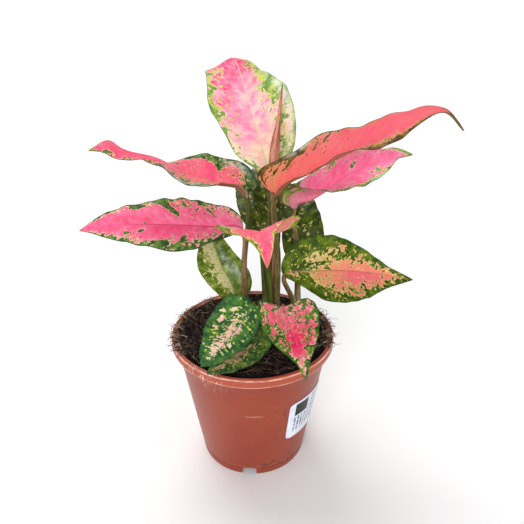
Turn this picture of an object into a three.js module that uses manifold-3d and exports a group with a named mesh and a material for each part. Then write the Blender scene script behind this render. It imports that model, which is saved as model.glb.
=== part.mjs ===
// A potted aglaonema: a thin plastic nursery pot filled with coir, four shoots of petioles
// rising from it, and a blade at the end of every petiole. Millimetres, +Z up.
// All places are measured from the axis of the pot at the surface it stands on. The finished
// group is then moved so that the origin is the bottom centre of the whole plant's box.
import * as THREE from "three";
import { mergeVertices } from "three/addons/utils/BufferGeometryUtils.js";
import Module from "manifold-3d";

const wasm = await Module();
wasm.setup();

// Pot: a tapered 12 cm nursery pot with a rolled rim and a raised floor
const POT_HEIGHT = 105;
const RIM_RADIUS = 60;
const RIM_DEPTH = 7;
const NECK_RADIUS = 56;
const FOOT_RADIUS = 40;
const WALL = 1.6;
const FLOOR_HEIGHT = 6;
const POT_SEGMENTS = 56;
const NOTCH_COUNT = 4;
const NOTCH_WIDTH = 10;
const NOTCH_HEIGHT = 7.5;
const NOTCH_TURN = -95;
const DRAIN_COUNT = 6;
const DRAIN_RADIUS = 3.5;
const DRAIN_CIRCLE = 26;

// Soil: fills the pot to just under the rim
const SOIL_TOP = 98.5;
const SOIL_DOME = 1.5;
const SOIL_RINGS = 7;
const SOIL_SEGMENTS = 40;
const SOIL_SHOULDER = 4;
const CLEARANCE = 0.3;

// Sticker on the wall of the pot, turned to the right
const LABEL_WIDTH = 38;
const LABEL_HEIGHT = 37;
const LABEL_CORNER = 4;
const LABEL_THICK = 0.6;
const LABEL_LIFT = 0.45;
const LABEL_MIDDLE = 52;
const LABEL_TURN = -37;

// Leaves: blade thickness, midrib keel, and how finely a blade is divided
const BLADE_THICK = 0.8;
const KEEL = 1.3;
const BLADE_ROOT = 1.6;
const BLADE_TIP = 0.25;
const BLADE_ROWS = 12;
const BLADE_COLUMNS = 3;
const SIDE_PHASE = 0.37;
const STATIONS = [0, 0.03, 0.1, 0.2, 0.35, 0.5, 0.65, 0.8, 0.9, 1];

// Petioles: wider where they sheathe each other at the soil
const PETIOLE_BOTTOM = 3;
const PETIOLE_TOP = 1.7;
const PETIOLE_SIDES = 7;
const PETIOLE_STEPS = 9;

// Shoots: where each short stem stands in the soil, and its radius
const STEM_BOTTOM = 76;
const STEM_TOP = 106;
const STEM_SIDES = 12;
const SHOOTS = {
  shoot_left: { at: [-5, 7], radius: 6.5 },
  shoot_centre: { at: [14, 4.5], radius: 8 },
  shoot_right: { at: [34, 16], radius: 6.5 },
  shoot_front: { at: [4.5, -10], radius: 5 },
};

// Colours of the plain model
const COLOURS = {
  terracotta: 0xa85a3c,
  coir: 0x2b1a12,
  paper: 0xe6eaef,
  petiole: 0xb9a283,
  hot_pink: 0xe84a72,
  coral: 0xf07a72,
  pale_pink: 0xefa6b4,
  salmon: 0xd99a70,
  dark_green: 0x3f6236,
};

// A leaf: petiole points from the stem, then midrib points from the blade's base to its tip.
// face: the way the upper side looks, spread evenly along the blade. halves: widths left and
// right of the midrib at the stations. fold: degrees that each half rises from the midrib.
// curl: more of it at the margin. lobe: how far the base reaches back. wave: height, count and
// start of the waves in the margin.
const LEAVES = {
  leaf_top: {
    shoot: "shoot_centre",
    colour: "pale_pink",
    petiole: [[13, 7, 102.5], [13, 12, 170], [12, 13, 217]],
    midrib: [[12, 13, 217], [8, 15, 236], [1, 19, 261], [-6, 29, 282], [-12, 44, 292], [-24, 62, 283]],
    halves: [[5, 9, 18, 21.5, 26, 22.5, 20, 16], [9, 17, 23, 26.5, 25, 16, 11, 8]],
    face: [[0.05, -1, 0.3], [0.05, -1, 0.4], [0, -0.9, 0.5], [0, -0.7, 0.8], [0, 0, 1]],
    fold: [[6, 4, 0, 0, -2, -10], [6, 6, 4, -8, -28, -30]],
    curl: [[0, 5, 5, 0, -10], [5, 20, 20, -10, -20]],
    lobe: [0, 0],
    wave: [1.5, 2.1, 0.1],
  },
  leaf_upper_right: {
    shoot: "shoot_centre",
    colour: "coral",
    petiole: [[17, 2, 102.5], [18, -2, 165], [15, -10, 215]],
    midrib: [[15, -10, 215], [39, -15, 234], [65, -21, 250], [92, -27, 266], [110, -31, 272], [123, -31, 261]],
    halves: [[17, 16, 18.5, 26.5, 16.5, 12.3, 10, 2], [9.8, 16, 19, 20, 19, 11, 5, 1.2]],
    face: [[0, -0.85, 1], [0, -0.6, 1], [0, -0.36, 1], [0, -0.32, 1], [0, -0.32, 1], [0, -0.32, 1]],
    fold: [[5, 5, 3, 3, 3], [57, 50, 36, 26, -8, -5, 0]],
    curl: [[0], [0]],
    lobe: [6, 0],
    wave: [1.5, 2.2, 0],
  },
  leaf_right: {
    shoot: "shoot_right",
    colour: "hot_pink",
    petiole: [[34, 18, 102.5], [33, 18, 160], [28, 6, 200]],
    midrib: [[28, 6, 200], [40, 2, 209], [53, 0, 218], [66, -2, 227], [83, -4, 235], [102, -6, 240]],
    halves: [[9.7, 15.8, 19.2, 21, 20, 17, 12, 10], [9.7, 15.7, 19.2, 21.2, 19.9, 17, 11.5, 2]],
    face: [[0, -0.33, 1]],
    fold: [[8, 5, 5, 5], [95, 70, 25, 4, 0, 0]],
    curl: [[0], [0]],
    lobe: [8, 4],
    wave: [1, 2, 0],
  },
  leaf_upper_left: {
    shoot: "shoot_left",
    colour: "coral",
    petiole: [[-4, 10, 102.5], [-6, 11, 150], [-3, 2, 210]],
    midrib: [[-3, 2, 210], [-25, 0, 221], [-43, -2, 228], [-59, -4, 238], [-76, -6, 243], [-90, -8, 248],
      [-101, -8, 244]],
    halves: [[9.4, 16, 17, 17, 19.5, 10.5, 9.5, 7], [12, 19, 22, 23.5, 19, 15, 10.8, 6.3]],
    face: [[0, -0.5, 1], [0, -0.5, 1], [0, -0.45, 1], [0, -0.1, 1], [0, 0.15, 1], [0, 0.05, 1], [0, 0, 1]],
    fold: [[45, 45, 14, -8, -32, -35], [3, 3, 3, -5, -28, -22, 0, 3]],
    curl: [[0], [0]],
    lobe: [2, 14],
    wave: [0.7, 1.8, 0.2],
  },
  leaf_left: {
    shoot: "shoot_left",
    colour: "hot_pink",
    petiole: [[-4, 4, 102.5], [-6, 4, 150], [-6, -4, 188]],
    midrib: [[-6, -4, 188], [-24, -10, 193], [-50, -16, 197], [-78, -20, 199], [-109, -24, 197]],
    halves: [[6, 10, 14, 21.5, 25, 19.5, 11.8, 6], [10, 19, 22.5, 23, 23, 20.5, 13.5, 8.5]],
    face: [[0, -0.4, 1]],
    fold: [[4, 3, 2], [4, 3, 2]],
    curl: [[0], [0]],
    lobe: [0, 0],
    wave: [1.5, 2.2, 0],
  },
  leaf_front: {
    shoot: "shoot_centre",
    colour: "hot_pink",
    petiole: [[13, 1, 102.5], [12, -6, 150], [6, -22, 190]],
    midrib: [[6, -22, 190], [5, -32, 198], [5, -42, 203], [7.5, -52, 199], [9, -55, 185]],
    halves: [[18, 25, 27, 25, 17, 8, 4.5, 2.5], [20, 27, 28, 27, 20, 9, 4, 2]],
    face: [[-0.1, 0.2, 1], [-0.1, -0.5, 1], [0, -1, 0.3]],
    fold: [[12, 15, 20, 35], [10, 14, 20, 40]],
    curl: [[0], [0]],
    lobe: [0, 0],
    wave: [0.3, 1.5, 0],
  },
  leaf_lower_right: {
    shoot: "shoot_right",
    colour: "salmon",
    petiole: [[32, 13, 102.5], [30, 8, 125], [22, -6, 154]],
    midrib: [[22, -6, 154], [41, -8, 158], [61, -9, 159], [85, -10, 157], [111, -12, 153]],
    halves: [[8, 19, 23, 25.5, 22, 14.5, 6, 3], [4, 9, 15.5, 26, 26.5, 21.5, 11, 5.5]],
    face: [[0, -0.78, 1]],
    fold: [[14, 14, 10], [14, 14, 10]],
    curl: [[0], [0]],
    lobe: [2, 4],
    wave: [0.8, 1.5, 0],
  },
  leaf_lower_left: {
    shoot: "shoot_left",
    colour: "dark_green",
    petiole: [[-8, 9, 102.5], [-10, 14, 110], [-11, 18, 118]],
    midrib: [[-11, 18, 118], [-16, 22, 133], [-23, 26, 146], [-28, 27, 162], [-33, 23, 181]],
    halves: [[6, 10, 13.5, 16, 17.5, 16, 11, 7], [7, 12, 15.5, 15.5, 13.5, 10, 7, 5]],
    face: [[0.2, -1, 0.4]],
    fold: [[15, 12, 8], [15, 12, 8]],
    curl: [[0], [0]],
    lobe: [0, 0],
    wave: [0.5, 1.5, 0],
  },
  leaf_front_left: {
    shoot: "shoot_front",
    colour: "dark_green",
    petiole: [[3, -9, 102.5], [1, -9, 114], [1, -9, 133]],
    midrib: [[1, -9, 133], [-8, -22, 125], [-20, -38, 118], [-34, -52, 111]],
    halves: [[5.3, 9, 11.6, 13.3, 13, 11.5, 8.8, 5.9], [12, 18, 21, 21.5, 20, 17, 12, 8]],
    face: [[-0.3, -0.9, 1]],
    fold: [[8, 6, 4], [8, 6, 4]],
    curl: [[0], [0]],
    lobe: [2, 4],
    wave: [1, 1.5, 0],
  },
  leaf_front_low: {
    shoot: "shoot_front",
    colour: "dark_green",
    petiole: [[5, -11, 102.5], [6, -13, 109], [9, -16, 117]],
    midrib: [[9, -16, 117], [-1, -30, 111], [-14, -44, 110], [-30, -56, 108]],
    halves: [[5.5, 9.5, 12, 13, 12.8, 11.5, 8.8, 5.5], [5.7, 9.8, 12.4, 14, 13.4, 11.7, 8.2, 5.2]],
    face: [[0, -0.15, 1]],
    fold: [[8, 6, 4], [8, 6, 4]],
    curl: [[0], [0]],
    lobe: [0, 0],
    wave: [0.6, 1.5, 0],
  },
  leaf_front_right: {
    shoot: "shoot_front",
    colour: "hot_pink",
    petiole: [[6, -10, 102.5], [15, -10, 113], [21, -7, 126], [22, -10, 131]],
    midrib: [[22, -10, 131], [26, -26, 124], [30, -42, 119], [33, -54, 113], [34, -62, 106]],
    halves: [[14.5, 20, 22, 20.5, 17, 11.5, 5, 2.5], [14.5, 19.5, 21, 20.6, 17.8, 11.3, 4.5, 2]],
    face: [[0.1, -0.8, 1], [0.1, -0.8, 1], [0.1, -0.9, 0.9]],
    fold: [[12, 10, 6], [24, 12, 6]],
    curl: [[0], [0]],
    lobe: [7, 14],
    wave: [0.8, 1.5, 0],
  },
  leaf_back_left: {
    shoot: "shoot_centre",
    colour: "dark_green",
    petiole: [[11, 8, 102.5], [8, 16, 150], [6, 21, 174]],
    midrib: [[6, 21, 174], [5, 31, 186], [3, 46, 193], [-2, 66, 195], [-11, 88, 187]],
    halves: [[6, 10.6, 13.3, 15, 14.5, 12.4, 8.7, 5.5], [6, 10.6, 13.3, 15, 14.5, 12.4, 8.7, 5.5]],
    face: [[-0.2, -1, 0.4], [-0.2, -0.7, 0.7], [-0.2, -0.2, 1]],
    fold: [[10, 8, 4], [0, 2, 4]],
    curl: [[0], [0]],
    lobe: [0, 0],
    wave: [1, 1.5, 0],
  },
  leaf_back_right: {
    shoot: "shoot_right",
    colour: "dark_green",
    petiole: [[36, 18, 102.5], [35, 24, 130], [38, 28, 147]],
    midrib: [[38, 28, 147], [38, 34, 167], [37, 46, 181], [35, 64, 187], [35, 88, 185]],
    halves: [[10, 14.2, 15.9, 15.4, 13, 9.7, 5.6, 2.7], [10, 14.2, 15.9, 15.4, 13, 9.7, 5.6, 2.7]],
    face: [[0, -1, 0.4], [0.1, -0.7, 0.7], [0.2, -0.2, 1]],
    fold: [[10, 8, 4], [10, 8, 4]],
    curl: [[0], [0]],
    lobe: [0, 0],
    wave: [1, 1.5, 0],
  },
  leaf_back: {
    shoot: "shoot_centre",
    colour: "dark_green",
    petiole: [[16, 8, 102.5], [17, 15, 150], [19, 18, 176]],
    midrib: [[19, 18, 176], [17, 24, 194], [14, 36, 205], [13, 60, 205], [10, 94, 198], [10, 112, 180]],
    halves: [[6, 10.6, 13.3, 15, 14.5, 12.4, 8.7, 5.5], [6, 10.6, 13.3, 15, 14.5, 12.4, 8.7, 5.5]],
    face: [[0, -1, 0.4], [0, -0.8, 0.7], [0, -0.3, 1], [0, 0.4, 1]],
    fold: [[14, 10, 4], [8, 6, 4]],
    curl: [[0], [0]],
    lobe: [0, 0],
    wave: [1, 1.5, 0],
  },
};

// The newest leaf, still rolled up in a spear
const SPEAR_PETIOLE = [[15, 5, 102.5], [16, 5, 170], [14, 7, 216]];
const SPEAR = [[14, 7, 216], [15, 8, 238], [18, 10, 260], [20, 12, 280]];
const SPEAR_RADIUS = 2.2;
const SPEAR_TIP = 0.5;
const SPEAR_STEPS = 8;
const SPEAR_SIDES = 8;

const RADIANS = Math.PI / 180;
const vector = (point) => new THREE.Vector3(...point);

// Value of a list whose entries are spread evenly from t = 0 to t = 1
function ease(values, t) {
  const place = t * (values.length - 1);
  const index = Math.min(Math.floor(place), values.length - 2);
  if (index < 0) {
    return values[0];
  }
  return values[index] + (values[index + 1] - values[index]) * (place - index);
}

// Points at equal distances along part of a smooth curve through the given points
function evenPoints(points, first, last, steps) {
  const curve = new THREE.CatmullRomCurve3(points.map(vector), false, "catmullrom", 0.5);
  const segments = points.length - 1;
  const perSegment = 12;
  const dense = [];
  for (let i = first * perSegment; i <= last * perSegment; i += 1) {
    dense.push(curve.getPoint(i / (segments * perSegment)));
  }
  const lengths = [0];
  for (let i = 1; i < dense.length; i += 1) {
    lengths.push(lengths[i - 1] + dense[i].distanceTo(dense[i - 1]));
  }
  const total = lengths[lengths.length - 1];
  const even = [];
  let segment = 1;
  for (let i = 0; i <= steps; i += 1) {
    const reach = (total * i) / steps;
    while (segment < dense.length - 1 && lengths[segment] < reach) {
      segment += 1;
    }
    const span = lengths[segment] - lengths[segment - 1];
    const share = Math.min((reach - lengths[segment - 1]) / span, 1);
    even.push(dense[segment - 1].clone().lerp(dense[segment], share));
  }
  return even;
}

// Directions along a row of points
function tangents(points) {
  return points.map((point, i) => {
    const before = points[Math.max(i - 1, 0)];
    const after = points[Math.min(i + 1, points.length - 1)];
    return after.clone().sub(before).normalize();
  });
}

function geometryFrom(vertices, triangles) {
  const geometry = new THREE.BufferGeometry();
  geometry.setAttribute("position", new THREE.Float32BufferAttribute(vertices.flatMap((v) => v.toArray()), 3));
  geometry.setIndex(triangles);
  return geometry;
}

// Closed solid between two grids of points, split into triangles alike on both faces
function slab(upper, lower) {
  const rows = upper.length;
  const columns = upper[0].length;
  const vertices = [...upper.flat(), ...lower.flat()];
  const under = rows * columns;
  const at = (row, column) => row * columns + column;
  const triangles = [];
  for (let row = 0; row < rows - 1; row += 1) {
    for (let column = 0; column < columns - 1; column += 1) {
      const corner = [at(row, column), at(row + 1, column), at(row + 1, column + 1), at(row, column + 1)];
      const left = column < (columns - 1) / 2;
      const pair = left ? [[0, 1, 2], [0, 2, 3]] : [[0, 1, 3], [1, 2, 3]];
      for (const [a, b, c] of pair) {
        triangles.push(corner[a], corner[c], corner[b]);
        triangles.push(under + corner[a], under + corner[b], under + corner[c]);
      }
    }
  }
  const edge = [];
  for (let row = 0; row < rows - 1; row += 1) {
    edge.push(at(row, 0));
  }
  for (let column = 0; column < columns - 1; column += 1) {
    edge.push(at(rows - 1, column));
  }
  for (let row = rows - 1; row > 0; row -= 1) {
    edge.push(at(row, columns - 1));
  }
  for (let column = columns - 1; column > 0; column -= 1) {
    edge.push(at(0, column));
  }
  edge.forEach((from, i) => {
    const to = edge[(i + 1) % edge.length];
    triangles.push(from, to, under + to);
    triangles.push(from, under + to, under + from);
  });
  return geometryFrom(vertices, triangles);
}

// Outward directions at the points of a grid
function gridNormals(grid) {
  const last = grid.length - 1;
  const end = grid[0].length - 1;
  return grid.map((row, i) => row.map((point, j) => {
    const along = grid[Math.min(i + 1, last)][j].clone().sub(grid[Math.max(i - 1, 0)][j]);
    const across = row[Math.min(j + 1, end)].clone().sub(row[Math.max(j - 1, 0)]);
    return along.cross(across).normalize();
  }));
}

// Half width of a blade at t, from 0 at the base to 1 at the tip, on a smooth curve through
// the widths at the stations
function halfWidth(t, half) {
  const widths = [BLADE_ROOT, ...half, BLADE_TIP];
  const last = STATIONS.length - 1;
  const next = Math.max(STATIONS.findIndex((station) => station >= t), 1);
  const slope = (k) => {
    const [from, to] = [Math.max(k - 1, 0), Math.min(k + 1, last)];
    return (widths[to] - widths[from]) / (STATIONS[to] - STATIONS[from]);
  };
  const span = STATIONS[next] - STATIONS[next - 1];
  const u = (t - STATIONS[next - 1]) / span;
  const blend = u * u * (3 - 2 * u);
  const bend = u * (1 - u) * span * ((1 - u) * slope(next - 1) - u * slope(next));
  return Math.max(widths[next - 1] * (1 - blend) + widths[next] * blend + bend, BLADE_TIP);
}

// Direction of the smooth curve where a petiole meets its blade
function joinDirection(petiolePoints, bladePoints) {
  return vector(bladePoints[1]).sub(vector(petiolePoints[petiolePoints.length - 2])).normalize();
}

// One blade: a waved sheet folded at its midrib, with a keel under the midrib
function blade(leaf) {
  const base = leaf.petiole.length - 1;
  const points = [...leaf.petiole.slice(0, -1), ...leaf.midrib];
  const spine = evenPoints(points, base, points.length - 1, BLADE_ROWS);
  const along = tangents(spine);
  along[0] = joinDirection(leaf.petiole, leaf.midrib);
  spine[0].addScaledVector(along[0], CLEARANCE);
  const outs = [];
  const upper = spine.map((centre, i) => {
    const t = i / BLADE_ROWS;
    const facing = vector([0, 1, 2].map((axis) => ease(leaf.face.map((entry) => entry[axis]), t)));
    const out = facing.addScaledVector(along[i], -facing.dot(along[i])).normalize();
    const across = along[i].clone().cross(out);
    outs.push(out);
    const row = [];
    for (const side of [-1, 1]) {
      const which = side < 0 ? 0 : 1;
      const half = halfWidth(t, leaf.halves[which]);
      const widest = Math.max(...leaf.halves[which]);
      const fold = ease(leaf.fold[which], t) * RADIANS;
      const curl = ease(leaf.curl[which], t) * RADIANS;
      const phase = leaf.wave[2] + (side > 0 ? SIDE_PHASE : 0);
      const swing = leaf.wave[0] * Math.sin(2 * Math.PI * (leaf.wave[1] * t + phase));
      const fade = Math.sqrt(Math.max(Math.sin(Math.PI * t), 0));
      let reach = 0;
      let rise = 0;
      for (let j = 0; j <= BLADE_COLUMNS; j += 1) {
        const share = j / BLADE_COLUMNS;
        if (j > 0) {
          const angle = fold + curl * ((j - 0.5) / BLADE_COLUMNS);
          reach += (Math.cos(angle) * half) / BLADE_COLUMNS;
          rise += (Math.sin(angle) * half) / BLADE_COLUMNS;
        }
        const outer = Math.max(half * share - BLADE_ROOT, 0) / widest;
        const back = leaf.lobe[which] * outer ** 1.5 * (1 - t) ** 3;
        const point = centre.clone().addScaledVector(across, side * reach);
        point.addScaledVector(out, rise + swing * share ** 2 * fade);
        point.addScaledVector(along[i], -back);
        if (side < 0) {
          row.unshift(point);
        } else if (j > 0) {
          row.push(point);
        }
      }
    }
    return row;
  });
  const normals = gridNormals(upper);
  normals[0] = normals[0].map(() => outs[0].clone().negate());
  const lower = upper.map((row, i) => row.map((point, j) => {
    const keel = j === BLADE_COLUMNS ? KEEL * (1 - i / BLADE_ROWS) : 0;
    return point.clone().addScaledVector(normals[i][j], BLADE_THICK + keel);
  }));
  return slab(upper, lower);
}

// Round tapering rod along a row of points, with its two end faces square to given directions
function rod(points, radiusAt, sides, [startDirection, endDirection]) {
  const along = tangents(points);
  along[0] = startDirection ?? along[0];
  along[along.length - 1] = endDirection ?? along[along.length - 1];
  const vertices = [];
  let reference = Math.abs(along[0].x) < 0.9 ? new THREE.Vector3(1, 0, 0) : new THREE.Vector3(0, 1, 0);
  points.forEach((point, i) => {
    const first = reference.clone().addScaledVector(along[i], -reference.dot(along[i])).normalize();
    const second = along[i].clone().cross(first);
    reference = first;
    for (let j = 0; j < sides; j += 1) {
      const angle = (2 * Math.PI * j) / sides;
      const radius = radiusAt(i / (points.length - 1));
      const offset = first.clone().multiplyScalar(Math.cos(angle) * radius);
      offset.addScaledVector(second, Math.sin(angle) * radius);
      vertices.push(point.clone().add(offset));
    }
  });
  const triangles = [];
  for (let i = 0; i < points.length - 1; i += 1) {
    for (let j = 0; j < sides; j += 1) {
      const next = (j + 1) % sides;
      const [a, b, c, d] = [i * sides + j, i * sides + next, (i + 1) * sides + next, (i + 1) * sides + j];
      triangles.push(a, b, c, a, c, d);
    }
  }
  const end = (points.length - 1) * sides;
  for (let j = 1; j < sides - 1; j += 1) {
    triangles.push(0, j + 1, j);
    triangles.push(end, end + j, end + j + 1);
  }
  return geometryFrom(vertices, triangles);
}

// Petiole from the stem to its blade
function petiole(points, bladePoints) {
  const line = evenPoints([...points, bladePoints[1]], 0, points.length - 1, PETIOLE_STEPS);
  const radiusAt = (t) => PETIOLE_BOTTOM + (PETIOLE_TOP - PETIOLE_BOTTOM) * Math.sqrt(t);
  return rod(line, radiusAt, PETIOLE_SIDES, [undefined, joinDirection(points, bladePoints)]);
}

function spear() {
  const points = [...SPEAR_PETIOLE.slice(0, -1), ...SPEAR];
  const line = evenPoints(points, SPEAR_PETIOLE.length - 1, points.length - 1, SPEAR_STEPS);
  const start = joinDirection(SPEAR_PETIOLE, SPEAR);
  line[0].addScaledVector(start, CLEARANCE);
  return rod(line, (t) => SPEAR_RADIUS + (SPEAR_TIP - SPEAR_RADIUS) * t, SPEAR_SIDES, [start, undefined]);
}

// Exchange with the solid modeller
function toSolid(geometry) {
  const bare = geometry.clone();
  bare.deleteAttribute("normal");
  bare.deleteAttribute("uv");
  const merged = mergeVertices(bare, 1e-4);
  return new wasm.Manifold(new wasm.Mesh({
    numProp: 3,
    vertProperties: new Float32Array(merged.attributes.position.array),
    triVerts: new Uint32Array(merged.index.array),
  }));
}

function fromSolid(solid) {
  const mesh = solid.getMesh();
  const geometry = new THREE.BufferGeometry();
  geometry.setAttribute("position", new THREE.BufferAttribute(new Float32Array(mesh.vertProperties), 3));
  geometry.setIndex(new THREE.BufferAttribute(new Uint32Array(mesh.triVerts), 1));
  return geometry;
}

// LatheGeometry turns about Y, so its result is stood up on Z
function lathe(profile, segments) {
  const points = profile.map(([radius, height]) => new THREE.Vector2(radius, height));
  return new THREE.LatheGeometry(points, segments).rotateX(Math.PI / 2);
}

// Radius of the outside of the pot's wall at a height
const neckHeight = POT_HEIGHT - RIM_DEPTH;
const wallRadius = (height) => FOOT_RADIUS + ((NECK_RADIUS - FOOT_RADIUS) * height) / neckHeight;

function pot() {
  const floorTop = FLOOR_HEIGHT + WALL;
  const inside = (height) => wallRadius(height) - WALL;
  const profile = [
    [0, FLOOR_HEIGHT],
    [inside(FLOOR_HEIGHT), FLOOR_HEIGHT],
    [inside(0), 0],
    [wallRadius(0), 0],
    [wallRadius(NOTCH_HEIGHT), NOTCH_HEIGHT],
    [wallRadius(neckHeight), neckHeight],
    [RIM_RADIUS - 0.8, neckHeight],
    [RIM_RADIUS, neckHeight + 0.8],
    [RIM_RADIUS, POT_HEIGHT - 1.4],
    [RIM_RADIUS - 1, POT_HEIGHT - 0.3],
    [RIM_RADIUS - 2.2, POT_HEIGHT],
    [RIM_RADIUS - 3.4, POT_HEIGHT - 0.6],
    [RIM_RADIUS - 3.8, POT_HEIGHT - 2],
    [inside(neckHeight), neckHeight],
    [inside(floorTop), floorTop],
    [0, floorTop],
  ];
  let solid = toSolid(lathe(profile, POT_SEGMENTS));
  for (let i = 0; i < NOTCH_COUNT; i += 1) {
    const angle = (NOTCH_TURN + (360 * i) / NOTCH_COUNT) * RADIANS;
    solid = solid.subtract(toSolid(footNotch().rotateZ(angle)));
  }
  for (let i = 0; i < DRAIN_COUNT; i += 1) {
    const angle = (2 * Math.PI * i) / DRAIN_COUNT;
    const drain = new THREE.CylinderGeometry(DRAIN_RADIUS, DRAIN_RADIUS, 6 * WALL, 12).rotateX(Math.PI / 2);
    drain.translate(DRAIN_CIRCLE * Math.cos(angle), DRAIN_CIRCLE * Math.sin(angle), FLOOR_HEIGHT);
    solid = solid.subtract(toSolid(drain));
  }
  return fromSolid(solid);
}

// Arched block that cuts one opening through the foot ring, pointing along +X
function footNotch() {
  const corner = 2;
  const half = NOTCH_WIDTH / 2;
  const outline = new THREE.Shape();
  outline.moveTo(-half, -1);
  outline.lineTo(half, -1);
  outline.lineTo(half, NOTCH_HEIGHT - corner - WALL);
  outline.quadraticCurveTo(half, NOTCH_HEIGHT - WALL, half - corner, NOTCH_HEIGHT - WALL);
  outline.lineTo(corner - half, NOTCH_HEIGHT - WALL);
  outline.quadraticCurveTo(-half, NOTCH_HEIGHT - WALL, -half, NOTCH_HEIGHT - corner - WALL);
  const block = new THREE.ExtrudeGeometry(outline, { depth: 4 * WALL, bevelEnabled: false, curveSegments: 3 });
  return block.rotateX(Math.PI / 2).rotateZ(Math.PI / 2).translate(FOOT_RADIUS - 2 * WALL - 1, 0, 0);
}

// Stem of a shoot, a short rounded stub
function stem({ at: [x, y], radius }, gap) {
  const wide = radius + gap;
  const profile = [
    [0, STEM_BOTTOM - gap],
    [wide, STEM_BOTTOM - gap],
    [wide, STEM_TOP - 5],
    [wide * 0.75, STEM_TOP - 1.5],
    [0, STEM_TOP],
  ];
  return lathe(profile, STEM_SIDES).translate(x, y, 0);
}

function shoot(name) {
  let solid = toSolid(stem(SHOOTS[name], 0));
  for (const leaf of Object.values(LEAVES)) {
    if (leaf.shoot === name) {
      solid = solid.add(toSolid(petiole(leaf.petiole, leaf.midrib)));
    }
  }
  if (name === "shoot_centre") {
    solid = solid.add(toSolid(petiole(SPEAR_PETIOLE, SPEAR)));
  }
  return fromSolid(solid);
}

// Coir: low lumps on a slight dome
function soilHeight(x, y) {
  const radius = Math.hypot(x, y) / NECK_RADIUS;
  const lumps = Math.sin(x * 0.31 + 1) * Math.cos(y * 0.27) + 0.6 * Math.sin(x * 0.17 - y * 0.23);
  return SOIL_TOP + SOIL_DOME * (1 - radius * radius) + 0.7 * lumps;
}

function soil() {
  const bottom = FLOOR_HEIGHT + WALL + CLEARANCE;
  const radiusAt = (height) => wallRadius(height) - WALL - 1.3 * CLEARANCE;
  const shoulder = SOIL_TOP - SOIL_SHOULDER;
  const profile = [[0, bottom], [radiusAt(bottom), bottom], [radiusAt(shoulder), shoulder]];
  const edge = radiusAt(shoulder) - CLEARANCE;
  for (let i = 0; i < SOIL_RINGS; i += 1) {
    profile.push([edge * (1 - i / SOIL_RINGS), SOIL_TOP]);
  }
  profile.push([0, SOIL_TOP]);
  const body = lathe(profile, SOIL_SEGMENTS);
  const place = body.attributes.position;
  for (let i = 0; i < place.count; i += 1) {
    if (place.getZ(i) > SOIL_TOP - 1) {
      place.setZ(i, soilHeight(place.getX(i), place.getY(i)));
    }
  }
  let solid = toSolid(body);
  for (const entry of Object.values(SHOOTS)) {
    solid = solid.subtract(toSolid(stem(entry, CLEARANCE)));
  }
  return solid;
}

// Sticker: a thin sheet with round corners, wrapped on the wall
function label() {
  const rows = 9;
  const columns = 8;
  const point = (row, column, lift) => {
    const rise = (row / rows - 0.5) * LABEL_HEIGHT;
    const fromEdge = Math.min(row, rows - row) * (LABEL_HEIGHT / rows);
    const inset = Math.max(LABEL_CORNER - fromEdge, 0);
    const cut = LABEL_CORNER - Math.sqrt(LABEL_CORNER ** 2 - inset ** 2);
    const run = (column / columns - 0.5) * (LABEL_WIDTH - 2 * cut);
    const height = LABEL_MIDDLE + rise;
    const angle = LABEL_TURN * RADIANS + run / wallRadius(LABEL_MIDDLE);
    const out = wallRadius(height) + LABEL_LIFT + lift;
    return new THREE.Vector3(out * Math.cos(angle), out * Math.sin(angle), height);
  };
  const sheet = (lift) => {
    const grid = [];
    for (let row = 0; row <= rows; row += 1) {
      grid.push([]);
      for (let column = 0; column <= columns; column += 1) {
        grid[row].push(point(row, column, lift));
      }
    }
    return grid;
  };
  return slab(sheet(LABEL_THICK), sheet(0));
}

const plant = new THREE.Group();

function place(name, geometry, colour, roughness) {
  const material = new THREE.MeshStandardMaterial({ color: COLOURS[colour], roughness, metalness: 0 });
  const mesh = new THREE.Mesh(geometry, material);
  mesh.name = name;
  plant.add(mesh);
}

place("pot", pot(), "terracotta", 0.45);
place("label", label(), "paper", 0.5);
for (const name of Object.keys(SHOOTS)) {
  place(name, shoot(name), "petiole", 0.5);
}
place("soil", fromSolid(soil()), "coir", 0.95);
for (const [name, leaf] of Object.entries(LEAVES)) {
  place(name, blade(leaf), leaf.colour, 0.4);
}
place("leaf_new", spear(), "salmon", 0.4);

// The origin is the middle of the bottom of the whole plant's box
const box = new THREE.Box3().setFromObject(plant);
const middle = box.getCenter(new THREE.Vector3());
plant.position.set(-middle.x, -middle.y, -box.min.z);

export default plant;
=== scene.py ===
# A potted aglaonema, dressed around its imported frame: waxy variegated blades on mottled stalks,
# coir with loose fibres, a nursery pot with a rolled rim, and the sticker on its wall.
import math
import bpy
import numpy as np
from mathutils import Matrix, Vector, noise


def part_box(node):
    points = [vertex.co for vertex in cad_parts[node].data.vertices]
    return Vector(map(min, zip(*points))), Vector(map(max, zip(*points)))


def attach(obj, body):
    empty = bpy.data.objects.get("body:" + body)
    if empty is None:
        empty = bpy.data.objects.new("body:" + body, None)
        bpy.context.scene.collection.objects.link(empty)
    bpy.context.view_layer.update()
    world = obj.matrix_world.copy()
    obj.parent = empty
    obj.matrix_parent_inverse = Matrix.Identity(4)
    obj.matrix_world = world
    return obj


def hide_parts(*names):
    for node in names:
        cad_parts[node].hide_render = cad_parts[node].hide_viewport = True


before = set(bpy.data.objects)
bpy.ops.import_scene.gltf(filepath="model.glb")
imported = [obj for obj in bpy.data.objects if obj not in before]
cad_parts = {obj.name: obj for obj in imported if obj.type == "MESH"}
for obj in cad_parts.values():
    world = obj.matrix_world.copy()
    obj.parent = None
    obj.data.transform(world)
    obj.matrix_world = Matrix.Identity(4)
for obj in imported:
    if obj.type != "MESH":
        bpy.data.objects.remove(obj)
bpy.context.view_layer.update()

MM = 0.001
pot_low, pot_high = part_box("pot")
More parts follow.
